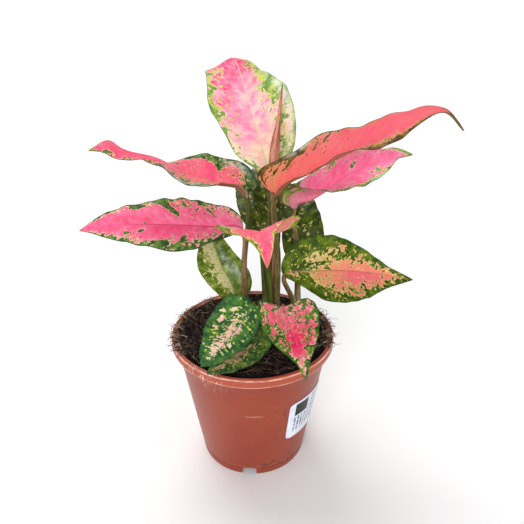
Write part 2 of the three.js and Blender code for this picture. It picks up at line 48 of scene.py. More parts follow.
POT_AXIS = np.array([(pot_low.x + pot_high.x) / 2, (pot_low.y + pot_high.y) / 2, 0.0])

# Pot, in millimetres and degrees
POT_HEIGHT = 105
RIM_RADIUS = 60
RIM_DEPTH = 7
NECK_RADIUS = 56
FOOT_RADIUS = 40
WALL = 1.6
FLOOR_HEIGHT = 6
NECK_HEIGHT = POT_HEIGHT - RIM_DEPTH
GROOVE_HEIGHT = 7.5
NOTCH_COUNT = 4
NOTCH_WIDTH = 11
NOTCH_HEIGHT = 7
NOTCH_CORNER = 2
NOTCH_INWARD = 5
NOTCH_TURN = -95
DRAIN_COUNT = 6
DRAIN_RADIUS = 3.5
DRAIN_CIRCLE = 26
DRAIN_SIDES = 24
CUT_PAST = 3
POT_SIDES = 168
SHARP_ANGLE = 40

# Scraped places on the rim and the wall, and thin lines round the wall: height, half width,
# strength and colour. The two pale lines at the rim and the pale line at 8.6 are painted
# highlights, and the dark line at 7.4, in the foot's groove, is painted shade.
WORN_RIM = (-32, -51, 102)
WORN_WALL = (1, -51, 66)
WALL_LINES = [
    (103.9, 0.7, 0.9, "f0bcaa"),
    (98.6, 0.6, 0.9, "eab29e"),
    (79, 0.5, 0.5, "7c2e18"),
    (7.4, 0.5, 0.6, "702814"),
    (8.6, 0.4, 0.5, "c87a60"),
]

# Soil and the loose bits on it, in millimetres, and where strands hang over the rim, in degrees
SOIL_TOP = 98.5
SOIL_DOME = 1.5
SOIL_BANK = 5.6
BANK_START = 0.76
BANK_WIDE = 0.22
SOIL_RINGS = 84
SOIL_SIDES = 200
FIBRE_SEED = 5
FIBRE_COUNT = 1500
FIBRE_REACH = 53.5
FIBRE_STEPS = 8
LUMP_SEED = 8
LUMP_COUNT = 900
LUMP_REACH = 53
RIM_FIBRE_SEED = 6
RIM_FIBRE_COUNT = 620
RIM_FIBRE_STEPS = 9
RIM_BAND = (54.5, 60.5)
RIM_TUFTS = (128, 147, 158, 174, 186, 193, 197, 202, 205, 42, 30, 15, 9, -3, -9, -16)

# Sticker, in millimetres and degrees
LABEL_WIDTH = 38
LABEL_HEIGHT = 37
LABEL_CORNER = 4
LABEL_THICK = 0.36
LABEL_GAP = 0.12
LABEL_MIDDLE = 52
LABEL_TURN = -37

# What is on the sticker, as left, right, bottom and top in millimetres from its middle
LABEL_BLOCK = (-13.8, -1.0, 4.5, 16.5)
LABEL_MARKS = [(1.0, 14.0, 3.0, 16.5), (-13.8, 14.0, -12.0, 3.0)]
MARK_STEP = 3.4
MARK_ROW = 1.1

# Blades and stalks, in millimetres, with the stations as shares of a blade's length
BLADE_ROWS = 120
BLADE_COLUMNS = 18
BLADE_THICK = 0.6
MARGIN_THICK = 0.36
BLADE_ROOT = 1.6
BLADE_TIP = 0.25
MARGIN_ROUND = 0.14
MARGIN_RAGGED = 0.008
RIB_DEPTH = 1.9
RIB_WIDTH = 1.5
GROOVE_DEPTH = 0.45
GROOVE_WIDTH = 1.1
VEIN_SPACING = 6.2
VEIN_RELIEF = 0.15
VEIN_SLOPE = 0.8
VEIN_BEND = 0.008
VEIN_LEAN = 0.14
SIDE_PHASE = 0.37
PATCH_SLOPE = 0.35
STATIONS = [0, 0.03, 0.1, 0.2, 0.35, 0.5, 0.65, 0.8, 0.9, 1]
STALK_BOTTOM = 3.0
STALK_TOP = 1.6
STALK_SIDES = 18
STALK_STEPS = 56

# Sizes of the marks in a blade's pattern, along and across it in millimetres
BROAD_PATCH = (7.0, 8.0)
PATCH = (2.7, 3.2)
RAGGED_EDGE = (1.2, 1.4)
ISLET = (1.8, 2.2)
GAP_CELL = (6.4, 5.6)
GAP_SWAY = (2.4, 2.4)
FLECK = (1.6, 1.9)
FLECK_CLUSTER = (7.0, 7.0)
CLOUD = (6.0, 8.0)
FIBRE = (0.55, 0.9)

# Stems: where each stands in the soil, and its radius
STEM_BOTTOM = 92
STEM_TOP = 106
STEM_RINGS = 14
STEM_SIDES = 28
STEM_TONE = 0.8
STEMS = {
    "shoot_left": ((-5, 7), 6.5),
    "shoot_centre": ((14, 4.5), 8),
    "shoot_right": ((34, 16), 6.5),
    "shoot_front": ((4.5, -10), 5),
}


def both(side):
    """The same values for the two sides of a midrib."""
    return side, side


# A leaf: stalk points from the stem, then midrib points from the blade's base to its tip, where
# the stalk ends at the first of them. face: the way the upper side looks, spread evenly along the
# blade. halves: widths on the two sides of the midrib at the stations. fold: degrees that each half
# rises from the midrib. curl: more of it at the margin. lobe: how far the base reaches back.
# wave: height, count and start of the waves in the margin.
PLAIN_LEAF = dict(curl=both([0]), lobe=(0, 0))
LEAVES = {
    "leaf_top": dict(
        shoot="shoot_centre",
        stalk=[[13, 7, 102.5], [13, 12, 170]],
        midrib=[[12, 13, 217], [8, 15, 236], [1, 19, 261], [-6, 29, 282], [-12, 44, 292], [-24, 62, 283]],
        halves=([5, 9, 18, 21.5, 26, 22.5, 20, 16], [9, 17, 23, 26.5, 25, 16, 11, 8]),
        face=[[0.05, -1, 0.3], [0.05, -1, 0.4], [0, -0.9, 0.5], [0, -0.7, 0.8], [0, 0, 1]],
        fold=([6, 4, 0, 0, -2, -10], [6, 6, 4, -8, -28, -30]),
        curl=([0, 5, 5, 0, -10], [5, 20, 20, -10, -20]),
        wave=(1.5, 2.1, 0.1),
    ),
    "leaf_upper_right": dict(
        shoot="shoot_centre",
        stalk=[[17, 2, 102.5], [18, -2, 165]],
        midrib=[[15, -10, 215], [39, -15, 234], [65, -21, 250], [92, -27, 266], [110, -31, 272],
                [123, -31, 261]],
        halves=([17, 16, 18.5, 26.5, 16.5, 12.3, 10, 2], [9.8, 16, 19, 20, 19, 11, 5, 1.2]),
        face=[[0, -0.85, 1], [0, -0.6, 1], [0, -0.36, 1], [0, -0.32, 1], [0, -0.32, 1], [0, -0.32, 1]],
        fold=([5, 5, 3, 3, 3], [57, 50, 36, 26, -8, -5, 0]),
        lobe=(6, 0), wave=(1.5, 2.2, 0),
    ),
    "leaf_right": dict(
        shoot="shoot_right",
        stalk=[[34, 18, 102.5], [33, 18, 160]],
        midrib=[[28, 6, 200], [40, 2, 209], [53, 0, 218], [66, -2, 227], [83, -4, 235], [102, -6, 240]],
        halves=([9.7, 15.8, 19.2, 21, 20, 17, 12, 10], [9.7, 15.7, 19.2, 21.2, 19.9, 17, 11.5, 2]),
        face=[[0, -0.33, 1]],
        fold=([8, 5, 5, 5], [95, 70, 25, 4, 0, 0]),
        lobe=(8, 4), wave=(1, 2, 0),
    ),
    "leaf_upper_left": dict(
        shoot="shoot_left",
        stalk=[[-4, 10, 102.5], [-6, 11, 150]],
        midrib=[[-3, 2, 210], [-25, 0, 221], [-43, -2, 228], [-59, -4, 238], [-76, -6, 243], [-90, -8, 248],
                [-101, -8, 244]],
        halves=([9.4, 16, 17, 17, 19.5, 10.5, 9.5, 7], [12, 19, 22, 23.5, 19, 15, 10.8, 6.3]),
        face=[[0, -0.5, 1], [0, -0.5, 1], [0, -0.45, 1], [0, -0.1, 1], [0, 0.15, 1], [0, 0.05, 1], [0, 0, 1]],
        fold=([45, 45, 14, -8, -32, -35], [3, 3, 3, -5, -28, -22, 0, 3]),
        lobe=(2, 14), wave=(0.7, 1.8, 0.2),
    ),
    "leaf_left": dict(
        shoot="shoot_left",
        stalk=[[-4, 4, 102.5], [-6, 4, 150]],
        midrib=[[-6, -4, 188], [-24, -10, 193], [-50, -16, 197], [-78, -20, 199], [-109, -24, 197]],
        halves=([6, 10, 14, 21.5, 25, 19.5, 11.8, 6], [10, 19, 22.5, 23, 23, 20.5, 13.5, 8.5]),
        face=[[0, -0.4, 1]],
        fold=both([4, 3, 2]),
        wave=(1.5, 2.2, 0),
    ),
    "leaf_front": dict(
        shoot="shoot_centre",
        stalk=[[13, 1, 102.5], [12, -6, 150]],
        midrib=[[6, -22, 190], [5, -32, 198], [5, -42, 203], [7.5, -52, 199], [9, -55, 185]],
        halves=([18, 25, 27, 25, 17, 8, 4.5, 2.5], [20, 27, 28, 27, 20, 9, 4, 2]),
        face=[[-0.1, 0.2, 1], [-0.1, -0.5, 1], [0, -1, 0.3]],
        fold=([12, 15, 20, 35], [10, 14, 20, 40]),
        wave=(0.3, 1.5, 0),
    ),
    "leaf_lower_right": dict(
        shoot="shoot_right",
        stalk=[[32, 13, 102.5], [30, 8, 125]],
        midrib=[[22, -6, 154], [41, -8, 158], [61, -9, 159], [85, -10, 157], [111, -12, 153]],
        halves=([8, 19, 23, 25.5, 22, 14.5, 6, 3], [4, 9, 15.5, 26, 26.5, 21.5, 11, 5.5]),
        face=[[0, -0.78, 1]],
        fold=both([14, 14, 10]),
        lobe=(2, 4), wave=(0.8, 1.5, 0),
    ),
    "leaf_lower_left": dict(
        shoot="shoot_left",
        stalk=[[-8, 9, 102.5], [-10, 14, 110]],
        midrib=[[-11, 18, 118], [-16, 22, 133], [-23, 26, 146], [-28, 27, 162], [-33, 23, 181]],
        halves=([6, 10, 13.5, 16, 17.5, 16, 11, 7], [7, 12, 15.5, 15.5, 13.5, 10, 7, 5]),
        face=[[0.2, -1, 0.4]],
        fold=both([15, 12, 8]),
        wave=(0.5, 1.5, 0),
    ),
    "leaf_front_left": dict(
        shoot="shoot_front",
        stalk=[[3, -9, 102.5], [1, -9, 114]],
        midrib=[[1, -9, 133], [-8, -22, 125], [-20, -38, 118], [-34, -52, 111]],
        halves=([5.3, 9, 11.6, 13.3, 13, 11.5, 8.8, 5.9], [12, 18, 21, 21.5, 20, 17, 12, 8]),
        face=[[-0.3, -0.9, 1]],
        fold=both([8, 6, 4]),
        lobe=(2, 4), wave=(1, 1.5, 0),
    ),
    "leaf_front_low": dict(
        shoot="shoot_front",
        stalk=[[5, -11, 102.5], [6, -13, 109]],
        midrib=[[9, -16, 117], [-1, -30, 111], [-14, -44, 110], [-30, -56, 108]],
        halves=([5.5, 9.5, 12, 13, 12.8, 11.5, 8.8, 5.5], [5.7, 9.8, 12.4, 14, 13.4, 11.7, 8.2, 5.2]),
        face=[[0, -0.15, 1]],
        fold=both([8, 6, 4]),
        wave=(0.6, 1.5, 0),
    ),
    "leaf_front_right": dict(
        shoot="shoot_front",
        stalk=[[6, -10, 102.5], [15, -10, 113], [21, -7, 126]],
        midrib=[[22, -10, 131], [26, -26, 124], [30, -42, 119], [33, -54, 113], [34, -62, 106]],
        halves=([14.5, 20, 22, 20.5, 17, 11.5, 5, 2.5], [14.5, 19.5, 21, 20.6, 17.8, 11.3, 4.5, 2]),
        face=[[0.1, -0.8, 1], [0.1, -0.8, 1], [0.1, -0.9, 0.9]],
        fold=([12, 10, 6], [24, 12, 6]),
        lobe=(7, 14), wave=(0.8, 1.5, 0),
    ),
    "leaf_back_left": dict(
        shoot="shoot_centre",
        stalk=[[11, 8, 102.5], [8, 16, 150]],
        midrib=[[6, 21, 174], [5, 31, 186], [3, 46, 193], [-2, 66, 195], [-11, 88, 187]],
        halves=both([6, 10.6, 13.3, 15, 14.5, 12.4, 8.7, 5.5]),
        face=[[-0.2, -1, 0.4], [-0.2, -0.7, 0.7], [-0.2, -0.2, 1]],
        fold=([10, 8, 4], [0, 2, 4]),
        wave=(1, 1.5, 0),
    ),
    "leaf_back_right": dict(
        shoot="shoot_right",
        stalk=[[36, 18, 102.5], [35, 24, 130]],
        midrib=[[38, 28, 147], [38, 34, 167], [37, 46, 181], [35, 64, 187], [35, 88, 185]],
        halves=both([10, 14.2, 15.9, 15.4, 13, 9.7, 5.6, 2.7]),
        face=[[0, -1, 0.4], [0.1, -0.7, 0.7], [0.2, -0.2, 1]],
        fold=both([10, 8, 4]),
        wave=(1, 1.5, 0),
    ),
    "leaf_back": dict(
        shoot="shoot_centre",
        stalk=[[16, 8, 102.5], [17, 15, 150]],
        midrib=[[19, 18, 176], [17, 24, 194], [14, 36, 205], [13, 60, 205], [10, 94, 198], [10, 112, 180]],
        halves=both([6, 10.6, 13.3, 15, 14.5, 12.4, 8.7, 5.5]),
        face=[[0, -1, 0.4], [0, -0.8, 0.7], [0, -0.3, 1], [0, 0.4, 1]],
        fold=([14, 10, 4], [8, 6, 4]),
        wave=(1, 1.5, 0),
    ),
}

# The rolled new leaf: stalk points and midrib points as above, then its radius from base to tip,
# which way its seam looks, and how far the seam winds round it
SPEAR_STALK = [[15, 5, 102.5], [16, 5, 170]]
SPEAR = [[14, 7, 216], [15, 8, 238], [18, 10, 260], [20, 12, 280]]
SPEAR_RADII = [1.7, 2.7, 3.1, 3.0, 2.4, 1.5, 1.0, 0.8, 0.4]
SPEAR_FACE = (0.4, -1, 0)
SPEAR_TWIST = 2.5
SPEAR_POINTS = 61
SPEAR_SIDES = 24
SPEAR_TONE = 0.6

# How a blade is coloured. heart: pale, middle and deep colour of its coloured middle. green: dark
# and bright. fleck: pale flecks in the green. rib: midrib. edge: outline of the heart. reach: share
# of each half that the heart covers, from base to tip. spots: (t, v, length, width, amount) of
# extra heart, or of green where the amount is below 0. depth: place in the heart's colours along
# the blade, with glow as spots of it. islets and flecks: how thick the green islets in the heart
# and the pale flecks in the green lie, from base to tip. patch: how ragged the heart's edge is.
# net: how far thin green gaps split the heart. dip: depth of the islets. bit: size of the flecks.
# under: how far the colours fade on the blade's lower side. sheen: pale spots of painted sheen.
# tone: stalk colour, from 0 olive to 1 pinkish beige. seed: which random pattern the blade has.
PLAIN_LOOKS = dict(edge="ecdf9e", spots=[], depth=[0.4], glow=[], net=0.0, dip=1.0, bit=1.0, under=0.55,
                   sheen=[], tone=0.5)
SHADED_LOOKS = dict(heart=("cfc98a", "d9cf9a", "dfcaa4"), rib="4f5f30", islets=[0.4], patch=0.7, bit=1.5,
                    tone=0.1)
LOOKS = {
    "leaf_top": dict(
        heart=("f2e0b8", "fa9fb8", "f4447a"), green=("6a9044", "c4cc5c"), fleck="dcd890", rib="c9c9a0",
        edge="e6e29a",
        reach=([0.3, 0.9, 1.12, 1.06, 1.02, 1.02, 1.05, 1.0],
               [0.4, 0.76, 0.95, 0.92, 0.8, 0.76, 0.88, 0.9]),
        spots=[(0.5, 0.5, 0.05, 0.24, -0.4), (0.62, 0.74, 0.1, 0.14, -0.5), (0.35, 0.66, 0.16, 0.1, -0.5),
               (0.48, -0.95, 0.07, 0.14, -0.4), (0.3, 0.9, 0.2, 0.08, 0.1)],
        depth=[0.0, 0.05, 0.22, 0.35, 0.55, 0.95, 1.2, 1.2],
        glow=[(0.4, -0.5, 0.2, 0.4, 0.35), (0.33, 0.3, 0.12, 0.3, 0.1)],
        islets=[1.1, 1.0, 1.1, 1.2, 1.3, 1.2, 0.8], flecks=[0.8, 0.6, 0.7, 0.8, 0.7], patch=0.9, net=0.25,
        dip=0.3,
        sheen=[(0.42, 0.88, 0.2, 0.14, 0.75), (0.12, 0.75, 0.1, 0.2, 0.3), (0.15, -0.7, 0.12, 0.3, 0.3)],
        tone=0.35, seed=3,
    ),
    "leaf_upper_right": dict(
        heart=("c88058", "dc6460", "e05268"), green=("42300e", "86622a"), fleck="b98a4a", rib="e8625c",
        edge="c07a4c",
        reach=([1.0, 1.05, 1.02, 1.0, 1.0, 1.1, 0.95, -1.6], [1.1, 1.05, 1.0, 0.96, 0.66, 0.6, 0.7, -1.6]),
        spots=[(0.13, -0.6, 0.012, 0.2, -1.0), (0.03, -0.75, 0.008, 0.2, -1.0),
               (0.07, -0.55, 0.006, 0.16, -1.1), (0.17, -0.86, 0.03, 0.08, -1.0),
               (0.31, -0.4, 0.01, 0.12, -0.8), (0.28, -0.66, 0.01, 0.14, -0.8),
               (0.33, -0.7, 0.01, 0.2, -0.6), (0.22, -0.8, 0.04, 0.12, -0.5),
               (0.1, -0.95, 0.06, 0.1, -0.6)],
        depth=[0.45, 0.5, 0.65, 0.8, 0.9, 0.9, 0.8, 0.7], glow=[(0.06, -0.5, 0.07, 0.5, -0.4)],
        islets=[1.2, 1.1, 0.8, 0.3, 0.1, 0.1], flecks=[0.1], patch=0.35,
        sheen=[(0.2, -0.95, 0.06, 0.08, 0.6)], tone=0.45, seed=11,
    ),
    "leaf_right": dict(
        heart=("ffc4cc", "ff84b0", "ff5c90"), green=("3a6230", "98b84c"), fleck="d9d88a", rib="e05a88",
        reach=([1.0, 1.1, 1.1, 1.1, 1.05, 1.05, 1.05, -0.4],
               [0.95, 0.92, 0.95, 1.02, 0.95, 0.82, 0.8, -0.4]),
        spots=[(0.05, 0.5, 0.01, 0.3, -1.6), (0.14, 0.84, 0.16, 0.05, -1.2),
               (0.1, 0.58, 0.12, 0.05, -1.1), (0.03, 0.9, 0.04, 0.1, -0.8), (0.08, -0.6, 0.01, 0.2, -1.2),
               (0.565, -0.3, 0.025, 0.2, -1.2), (0.6, -0.12, 0.015, 0.1, -0.8),
               (0.68, 0.4, 0.015, 0.14, -0.8), (0.74, 0.55, 0.02, 0.1, -0.9),
               (0.72, 0.25, 0.01, 0.12, -0.6), (0.7, 0.95, 0.1, 0.12, -0.4),
               (0.42, -0.8, 0.06, 0.14, -0.5), (0.1, -0.95, 0.05, 0.1, -0.6), (0.3, 0.2, 0.012, 0.2, -0.5)],
        depth=[0.4, 0.6, 0.75, 0.8, 0.8, 0.75, 0.7],
        islets=[0.3, 0.3, 0.4, 0.7, 0.7, 0.4], flecks=[0.6, 0.8, 0.9, 0.9], patch=0.7, dip=0.8, under=0.4,
        sheen=[(0.72, 0.95, 0.07, 0.08, 0.5)], seed=23,
    ),
    "leaf_upper_left": dict(
        heart=("f09c84", "f26a7e", "f04c78"), green=("2c4a22", "6a8a3c"), fleck="cfc890", rib="c87858",
        reach=([1, 0.95, 0.75, 0.66, 0.86, 1, 0.86, 0.86], [-0.5, 0.85, 1.1, 1.0, 0.98, 1.1, 1.1, 0.2]),
        spots=[(0.27, 0.78, 0.045, 0.14, -1.1), (0.13, 0.3, 0.012, 0.25, -0.7),
               (0.2, 0.12, 0.01, 0.12, -0.9), (0.24, 0.55, 0.015, 0.12, -0.9),
               (0.39, 0.9, 0.05, 0.1, -0.7), (0.38, 0.25, 0.018, 0.09, -1.0),
               (0.47, 0.48, 0.018, 0.16, -1.2), (0.56, 0.2, 0.04, 0.2, -0.5),
               (0.32, 0.45, 0.012, 0.1, -0.8), (0.99, 0, 0.04, 3, -2.0)],
        depth=[0.3, 0.55, 0.75, 0.75, 0.75, 0.85, 0.9, 0.8], glow=[(0.32, -0.3, 0.12, 0.3, -0.5)],
        islets=[1.0, 1.0, 1.0, 0.9, 0.7, 0.6], flecks=[0.9, 0.7, 0.5, 0.4], patch=0.85, under=0.85,
        sheen=[(0.42, -0.92, 0.12, 0.12, 0.6), (0.15, 0.82, 0.07, 0.14, 0.7)], tone=0.25, seed=31,
    ),
    "leaf_left": dict(
        heart=("ffa8c2", "ff759e", "fc4674"), green=("284c2c", "6c8c3c"), fleck="a4b468", rib="c43a5e",
        reach=([0.8, 0.72, 0.66, 0.74, 0.84, 0.74, 0.74, 0.8],
               [0.8, 0.86, 0.84, 0.88, 0.96, 0.9, 0.9, 0.86]),
        spots=[(1.0, 0, 0.03, 3, -1.6), (0.54, 0.94, 0.03, 0.1, -1.4), (0.5, 0.76, 0.02, 0.12, -1.4),
               (0.46, 0.58, 0.016, 0.12, -1.3), (0.425, 0.4, 0.014, 0.1, -1.2),
               (0.66, 0.84, 0.035, 0.1, -1.0), (0.62, 0.05, 0.025, 0.05, -1.1),
               (0.64, -0.3, 0.02, 0.09, -1.1), (0.4, -0.55, 0.014, 0.14, -1.0),
               (0.72, -0.45, 0.02, 0.1, -0.9), (0.2, 0.5, 0.012, 0.2, -0.7),
               (0.53, -0.72, 0.03, 0.12, -0.8), (0.33, 0.3, 0.012, 0.07, -0.9)],
        depth=[0.3, 0.5, 0.7, 0.75, 0.7, 0.75, 0.8, 0.8], glow=[(0.45, 0.3, 0.2, 0.25, -0.2)],
        islets=[1.0, 1.1, 1.1, 0.8, 0.6, 0.5, 0.4], flecks=[0.4, 0.4, 0.5, 0.3, 0.3], patch=0.65, dip=0.6,
        tone=0.6, seed=47,
    ),
    "leaf_front": dict(
        heart=("f4a890", "f87488", "ee4468"), green=("6a7a1e", "a8c03c"), fleck="d4dc7c", rib="e8507a",
        reach=([0.95, 0.95, 0.95, 0.95, 1.05, 1.1], [0.85, 0.9, 0.9, 0.8, 0.72, 0.85]),
        spots=[(0.1, -0.95, 0.1, 0.12, -0.5)],
        depth=[0.2, 0.4, 0.6, 0.75, 0.7],
        islets=[0.8, 0.7, 0.5, 0.4, 0.3], flecks=[0.6], patch=0.7, under=0.2,
        tone=0.1, seed=53,
    ),
    "leaf_lower_right": dict(
        heart=("ccaa70", "de8466", "e36874"), green=("2c460a", "5e761c"), fleck="c8b84c", rib="a06a48",
        reach=([-0.6, -0.4, 0.05, 0.36, 0.5, 0.5, 0.35, -0.3],
               [-0.6, -0.1, 0.5, 0.7, 0.7, 0.62, 0.45, -0.3]),
        spots=[(0.25, -0.42, 0.1, 0.2, 0.6), (0.1, 0.3, 0.03, 0.4, 0.5), (0.06, 0.2, 0.018, 0.25, 1.0),
               (0.04, -0.3, 0.015, 0.2, 0.9), (0.2, -0.6, 0.05, 0.15, 0.3), (0.44, -0.72, 0.04, 0.12, 0.6)],
        depth=[0.0, 0.0, 0.3, 0.5, 0.6, 0.6, 0.4, 0.1],
        glow=[(0.62, 0.22, 0.17, 0.25, 0.7), (0.28, -0.45, 0.15, 0.3, -0.6)],
        islets=[0.6, 0.6, 0.5, 0.4, 0.4, 0.5], flecks=[1, 1.2, 1, 0.8, 0.8], patch=0.95, net=0.12,
        seed=61,
    ),
    "leaf_lower_left": dict(
        heart=("c6c484", "d2cc98", "dcd8b0"), green=("4a6414", "8ea43c"), fleck="cfd488", rib="8a9048",
        reach=([-0.2, 0.35, 0.55, 0.55, 0.55, 0.8, 1.0], [-1.3]),
        islets=[1, 1, 0.9, 0.8, 0.8], flecks=[0.0], patch=1.1,
        sheen=[(0.5, 0.3, 0.18, 0.18, 0.7), (0.3, 0.55, 0.12, 0.13, 0.45)], tone=0.9, seed=71,
    ),
    "leaf_front_left": dict(
        heart=("e6dcae", "eec6b8", "e89ca6"), green=("285232", "4f8038"), fleck="bcd052", rib="5a7a48",
        edge="eadfa8",
        reach=([-0.5, -0.25, 0.08, 0.12, 0.1, 0.02, -0.05, -0.4],
               [-0.5, -0.2, 0.14, 0.2, 0.3, 0.36, 0.2, -0.3]),
        spots=[(0.2, 0.5, 0.035, 0.11, 1.0), (0.27, 0.74, 0.045, 0.1, 1.2), (0.38, 0.62, 0.04, 0.12, 1.1),
               (0.14, 0.35, 0.025, 0.12, 0.9), (0.52, 0.7, 0.035, 0.1, 0.9), (0.72, 0.35, 0.06, 0.2, 0.3)],
        depth=[0.2, 0.4, 0.8, 0.9, 0.6, 0.4, 0.3], glow=[(0.3, 0.7, 0.15, 0.25, -0.5)],
        islets=[0.8, 0.7, 0.7, 0.8, 0.9], flecks=[1.1, 1.3, 1.2, 1.0, 1.0], patch=0.95, net=0.2, bit=1.4,
        seed=83,
    ),
    "leaf_front_low": dict(
        heart=("cdbf80", "cc9c80", "c98278"), green=("2c4c26", "6c8838"), fleck="b8c060", rib="4f5a34",
        reach=([-0.4, -0.3, -0.1, 0.0, -0.1, 0.0, -0.3], [-0.4, -0.3, -0.1, 0.1, 0.0, 0.1, -0.3]),
        spots=[(0.5, 0.1, 0.08, 0.2, 0.5), (0.6, -0.3, 0.03, 0.1, 0.7), (0.81, 0.0, 0.05, 0.2, 0.5)],
        depth=[0.4, 0.6, 0.8, 0.6],
        islets=[0.5], flecks=[0.7, 0.9, 1, 1], patch=1.1,
        seed=97,
    ),
    "leaf_front_right": dict(
        heart=("f8c8bc", "f06884", "e42e5c"), green=("30561f", "5c8a2c"), fleck="d6de74", rib="d8607c",
        edge="f2dcc0",
        reach=([0.7, 0.95, 0.98, 1.0, 0.95, 0.85, 0.5, 0.0], [0.8, 1.0, 1.0, 0.95, 0.85, 0.65, 0.5, 0.0]),
        spots=[(0.85, 0.0, 0.02, 0.3, 0.7), (0.6, 0.62, 0.03, 0.1, -0.4), (0.58, 0.0, 0.14, 0.34, 0.75)],
        depth=[0.4, 0.5, 0.6, 0.7, 0.75, 0.5, 0.1, 0.3], glow=[(0.5, 0.0, 0.2, 0.4, 0.35)],
        islets=[0.5, 0.5, 0.4, 0.3, 0.3, 0.5], flecks=[0.9, 1.1, 1.1, 1.0, 0.8], patch=0.7, net=0.9,
        tone=0.7, seed=103,
    ),
    "leaf_back_left": dict(
        SHADED_LOOKS, green=("2e3c0a", "5e6e1c"), fleck="c4b470", reach=both([-0.4]), flecks=[1.1, 1, 1.1],
        seed=113,
    ),
    "leaf_back_right": dict(
        SHADED_LOOKS, green=("2a3a0a", "566a1e"), fleck="c0b86c", reach=([-0.3], [-0.4]),
        flecks=[1.2, 1.1, 1], seed=127,
    ),
    "leaf_back": dict(
        SHADED_LOOKS, heart=("cfc98a", "d9b99a", "dfa4a0"), green=("2a360a", "54641c"), fleck="b0a264",
        reach=both([-0.3, -0.1, 0.1, 0.0, -0.3]), flecks=[1.1], seed=131,
    ),
}
SLOTS = {
    "leaf_top": "leaf_pale_pink", "leaf_upper_right": "leaf_coral", "leaf_right": "leaf_hot_pink",
    "leaf_upper_left": "leaf_coral", "leaf_left": "leaf_hot_pink", "leaf_front": "leaf_hot_pink",
    "leaf_lower_right": "leaf_salmon", "leaf_lower_left": "leaf_green", "leaf_front_left": "leaf_green",
    "leaf_front_low": "leaf_green", "leaf_front_right": "leaf_hot_pink", "leaf_back_left": "leaf_green",
    "leaf_back_right": "leaf_green", "leaf_back": "leaf_green",
}

# Studio: size and grey of the floor, grey of the sky overhead, and for each sun the side that it
# shines from, its strength and its width in degrees
FLOOR_SIZE = 20.0
FLOOR_TONE = 0.92
SKY_TONE = 0.36
SUNS = {
    "top": ((-0.25, 0.45, 1.0), 1.5, 35),
    "front": ((-0.2, -1.0, 0.55), 1.75, 35),
}

# Camera: lens, place from the foot of the pot's axis in millimetres, tilt and turn in degrees
LENS = 38.95
CAMERA_PLACE = (0.7, -355, 340)
CAMERA_TILT = 26.7
CAMERA_TURN = -1.0


# Curves and surfaces

def smoothstep(low, high, value):
    share = np.clip((value - low) / (high - low), 0, 1)
    return share * share * (3 - 2 * share)


def spread(values, t):
    """Values of a list whose entries lie evenly from t = 0 to t = 1."""
    values = np.asarray(values, float)
    if len(values) == 1:
        return np.full_like(t, values[0])
    return np.interp(t, np.linspace(0, 1, len(values)), values)


def smooth_line(points, first, last, count):
    """Points at even distances along part of a smooth curve through the given points, and its length."""
    knots = [np.asarray(point, float) for point in points]
    knots = [2 * knots[0] - knots[1], *knots, 2 * knots[-1] - knots[-2]]
    per_span = 24
    u = (np.arange(per_span) / per_span)[:, None]
    line = []
    for i in range(1 + first, 1 + last):
        a, b, c, d = knots[i - 1:i + 3]
        line.append(0.5 * (2 * b + (c - a) * u + (2 * a - 5 * b + 4 * c - d) * u ** 2
                           + (3 * b - a - 3 * c + d) * u ** 3))
    line = np.vstack([*line, knots[1 + last][None]])
    lengths = np.r_[0, np.cumsum(np.linalg.norm(np.diff(line, axis=0), axis=1))]
    even = np.linspace(0, lengths[-1], count)
    return np.stack([np.interp(even, lengths, line[:, k]) for k in range(3)], 1), lengths[-1]


def unit(vectors):
    return vectors / np.linalg.norm(vectors, axis=-1, keepdims=True)


def square_to(vectors, directions):
    return unit(vectors - (vectors * directions).sum(-1, keepdims=True) * directions)


def polar(radius, angle):
    return radius * math.cos(angle), radius * math.sin(angle)


def ring_faces(count, sides):
    """Quads between rings of points that follow one another."""
    faces = []
    for i in range(count - 1):
        for j in range(sides):
            k = (j + 1) % sides
            faces.append((i * sides + j, i * sides + k, (i + 1) * sides + k, (i + 1) * sides + j))
    return faces


def tube_faces(count, sides):
    """The same, with a flat face at each end."""
    last = (count - 1) * sides
    return [*ring_faces(count, sides), tuple(range(sides - 1, -1, -1)), tuple(range(last, last + sides))]


def closed_faces(count, sides):
    """The same, with each end drawn in to one of the two points that follow the last ring."""
    faces = ring_faces(count, sides)
    middle, last = count * sides, (count - 1) * sides
    for j in range(sides):
        k = (j + 1) % sides
        faces += [(middle, k, j), (middle + 1, last + j, last + k)]
    return faces


def rings_round(line, along, first, angles, radius):
    """Points of the rings round a line, where angle 0 looks along first."""
    second = np.cross(along, first)
    ring = np.cos(angles)[None, :, None] * first[:, None] + np.sin(angles)[None, :, None] * second[:, None]
    return (line[:, None] + radius[..., None] * ring).reshape(-1, 3)


def new_mesh(name, vertices, faces):
    """A mesh from points in millimetres about the pot's axis."""
    mesh = bpy.data.meshes.new(name)
    mesh.from_pydata((np.asarray(vertices) * MM + POT_AXIS).tolist(), [], faces)
    return mesh


def new_object(name, data):
    made = bpy.data.objects.new(name, data)
    bpy.context.scene.collection.objects.link(made)
    return made


def add_piece(name, vertices, faces, material, slot, *nodes, attributes=(), smooth=True):
    """A piece of the plant or its pot, riding on the one body."""
    mesh = new_mesh(name, vertices, faces)
    for key, values in attributes:
        store = mesh.attributes.new(key, "FLOAT_VECTOR", "POINT")
        store.data.foreach_set("vector", np.asarray(values, np.float32).ravel())
    if smooth:
        mesh.shade_smooth()
    mesh.materials.append(material)
    mesh.update()
    piece = new_object(name, mesh)
    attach(piece, "root")
    if nodes:
        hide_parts(*nodes)
    return piece


# Leaf blades

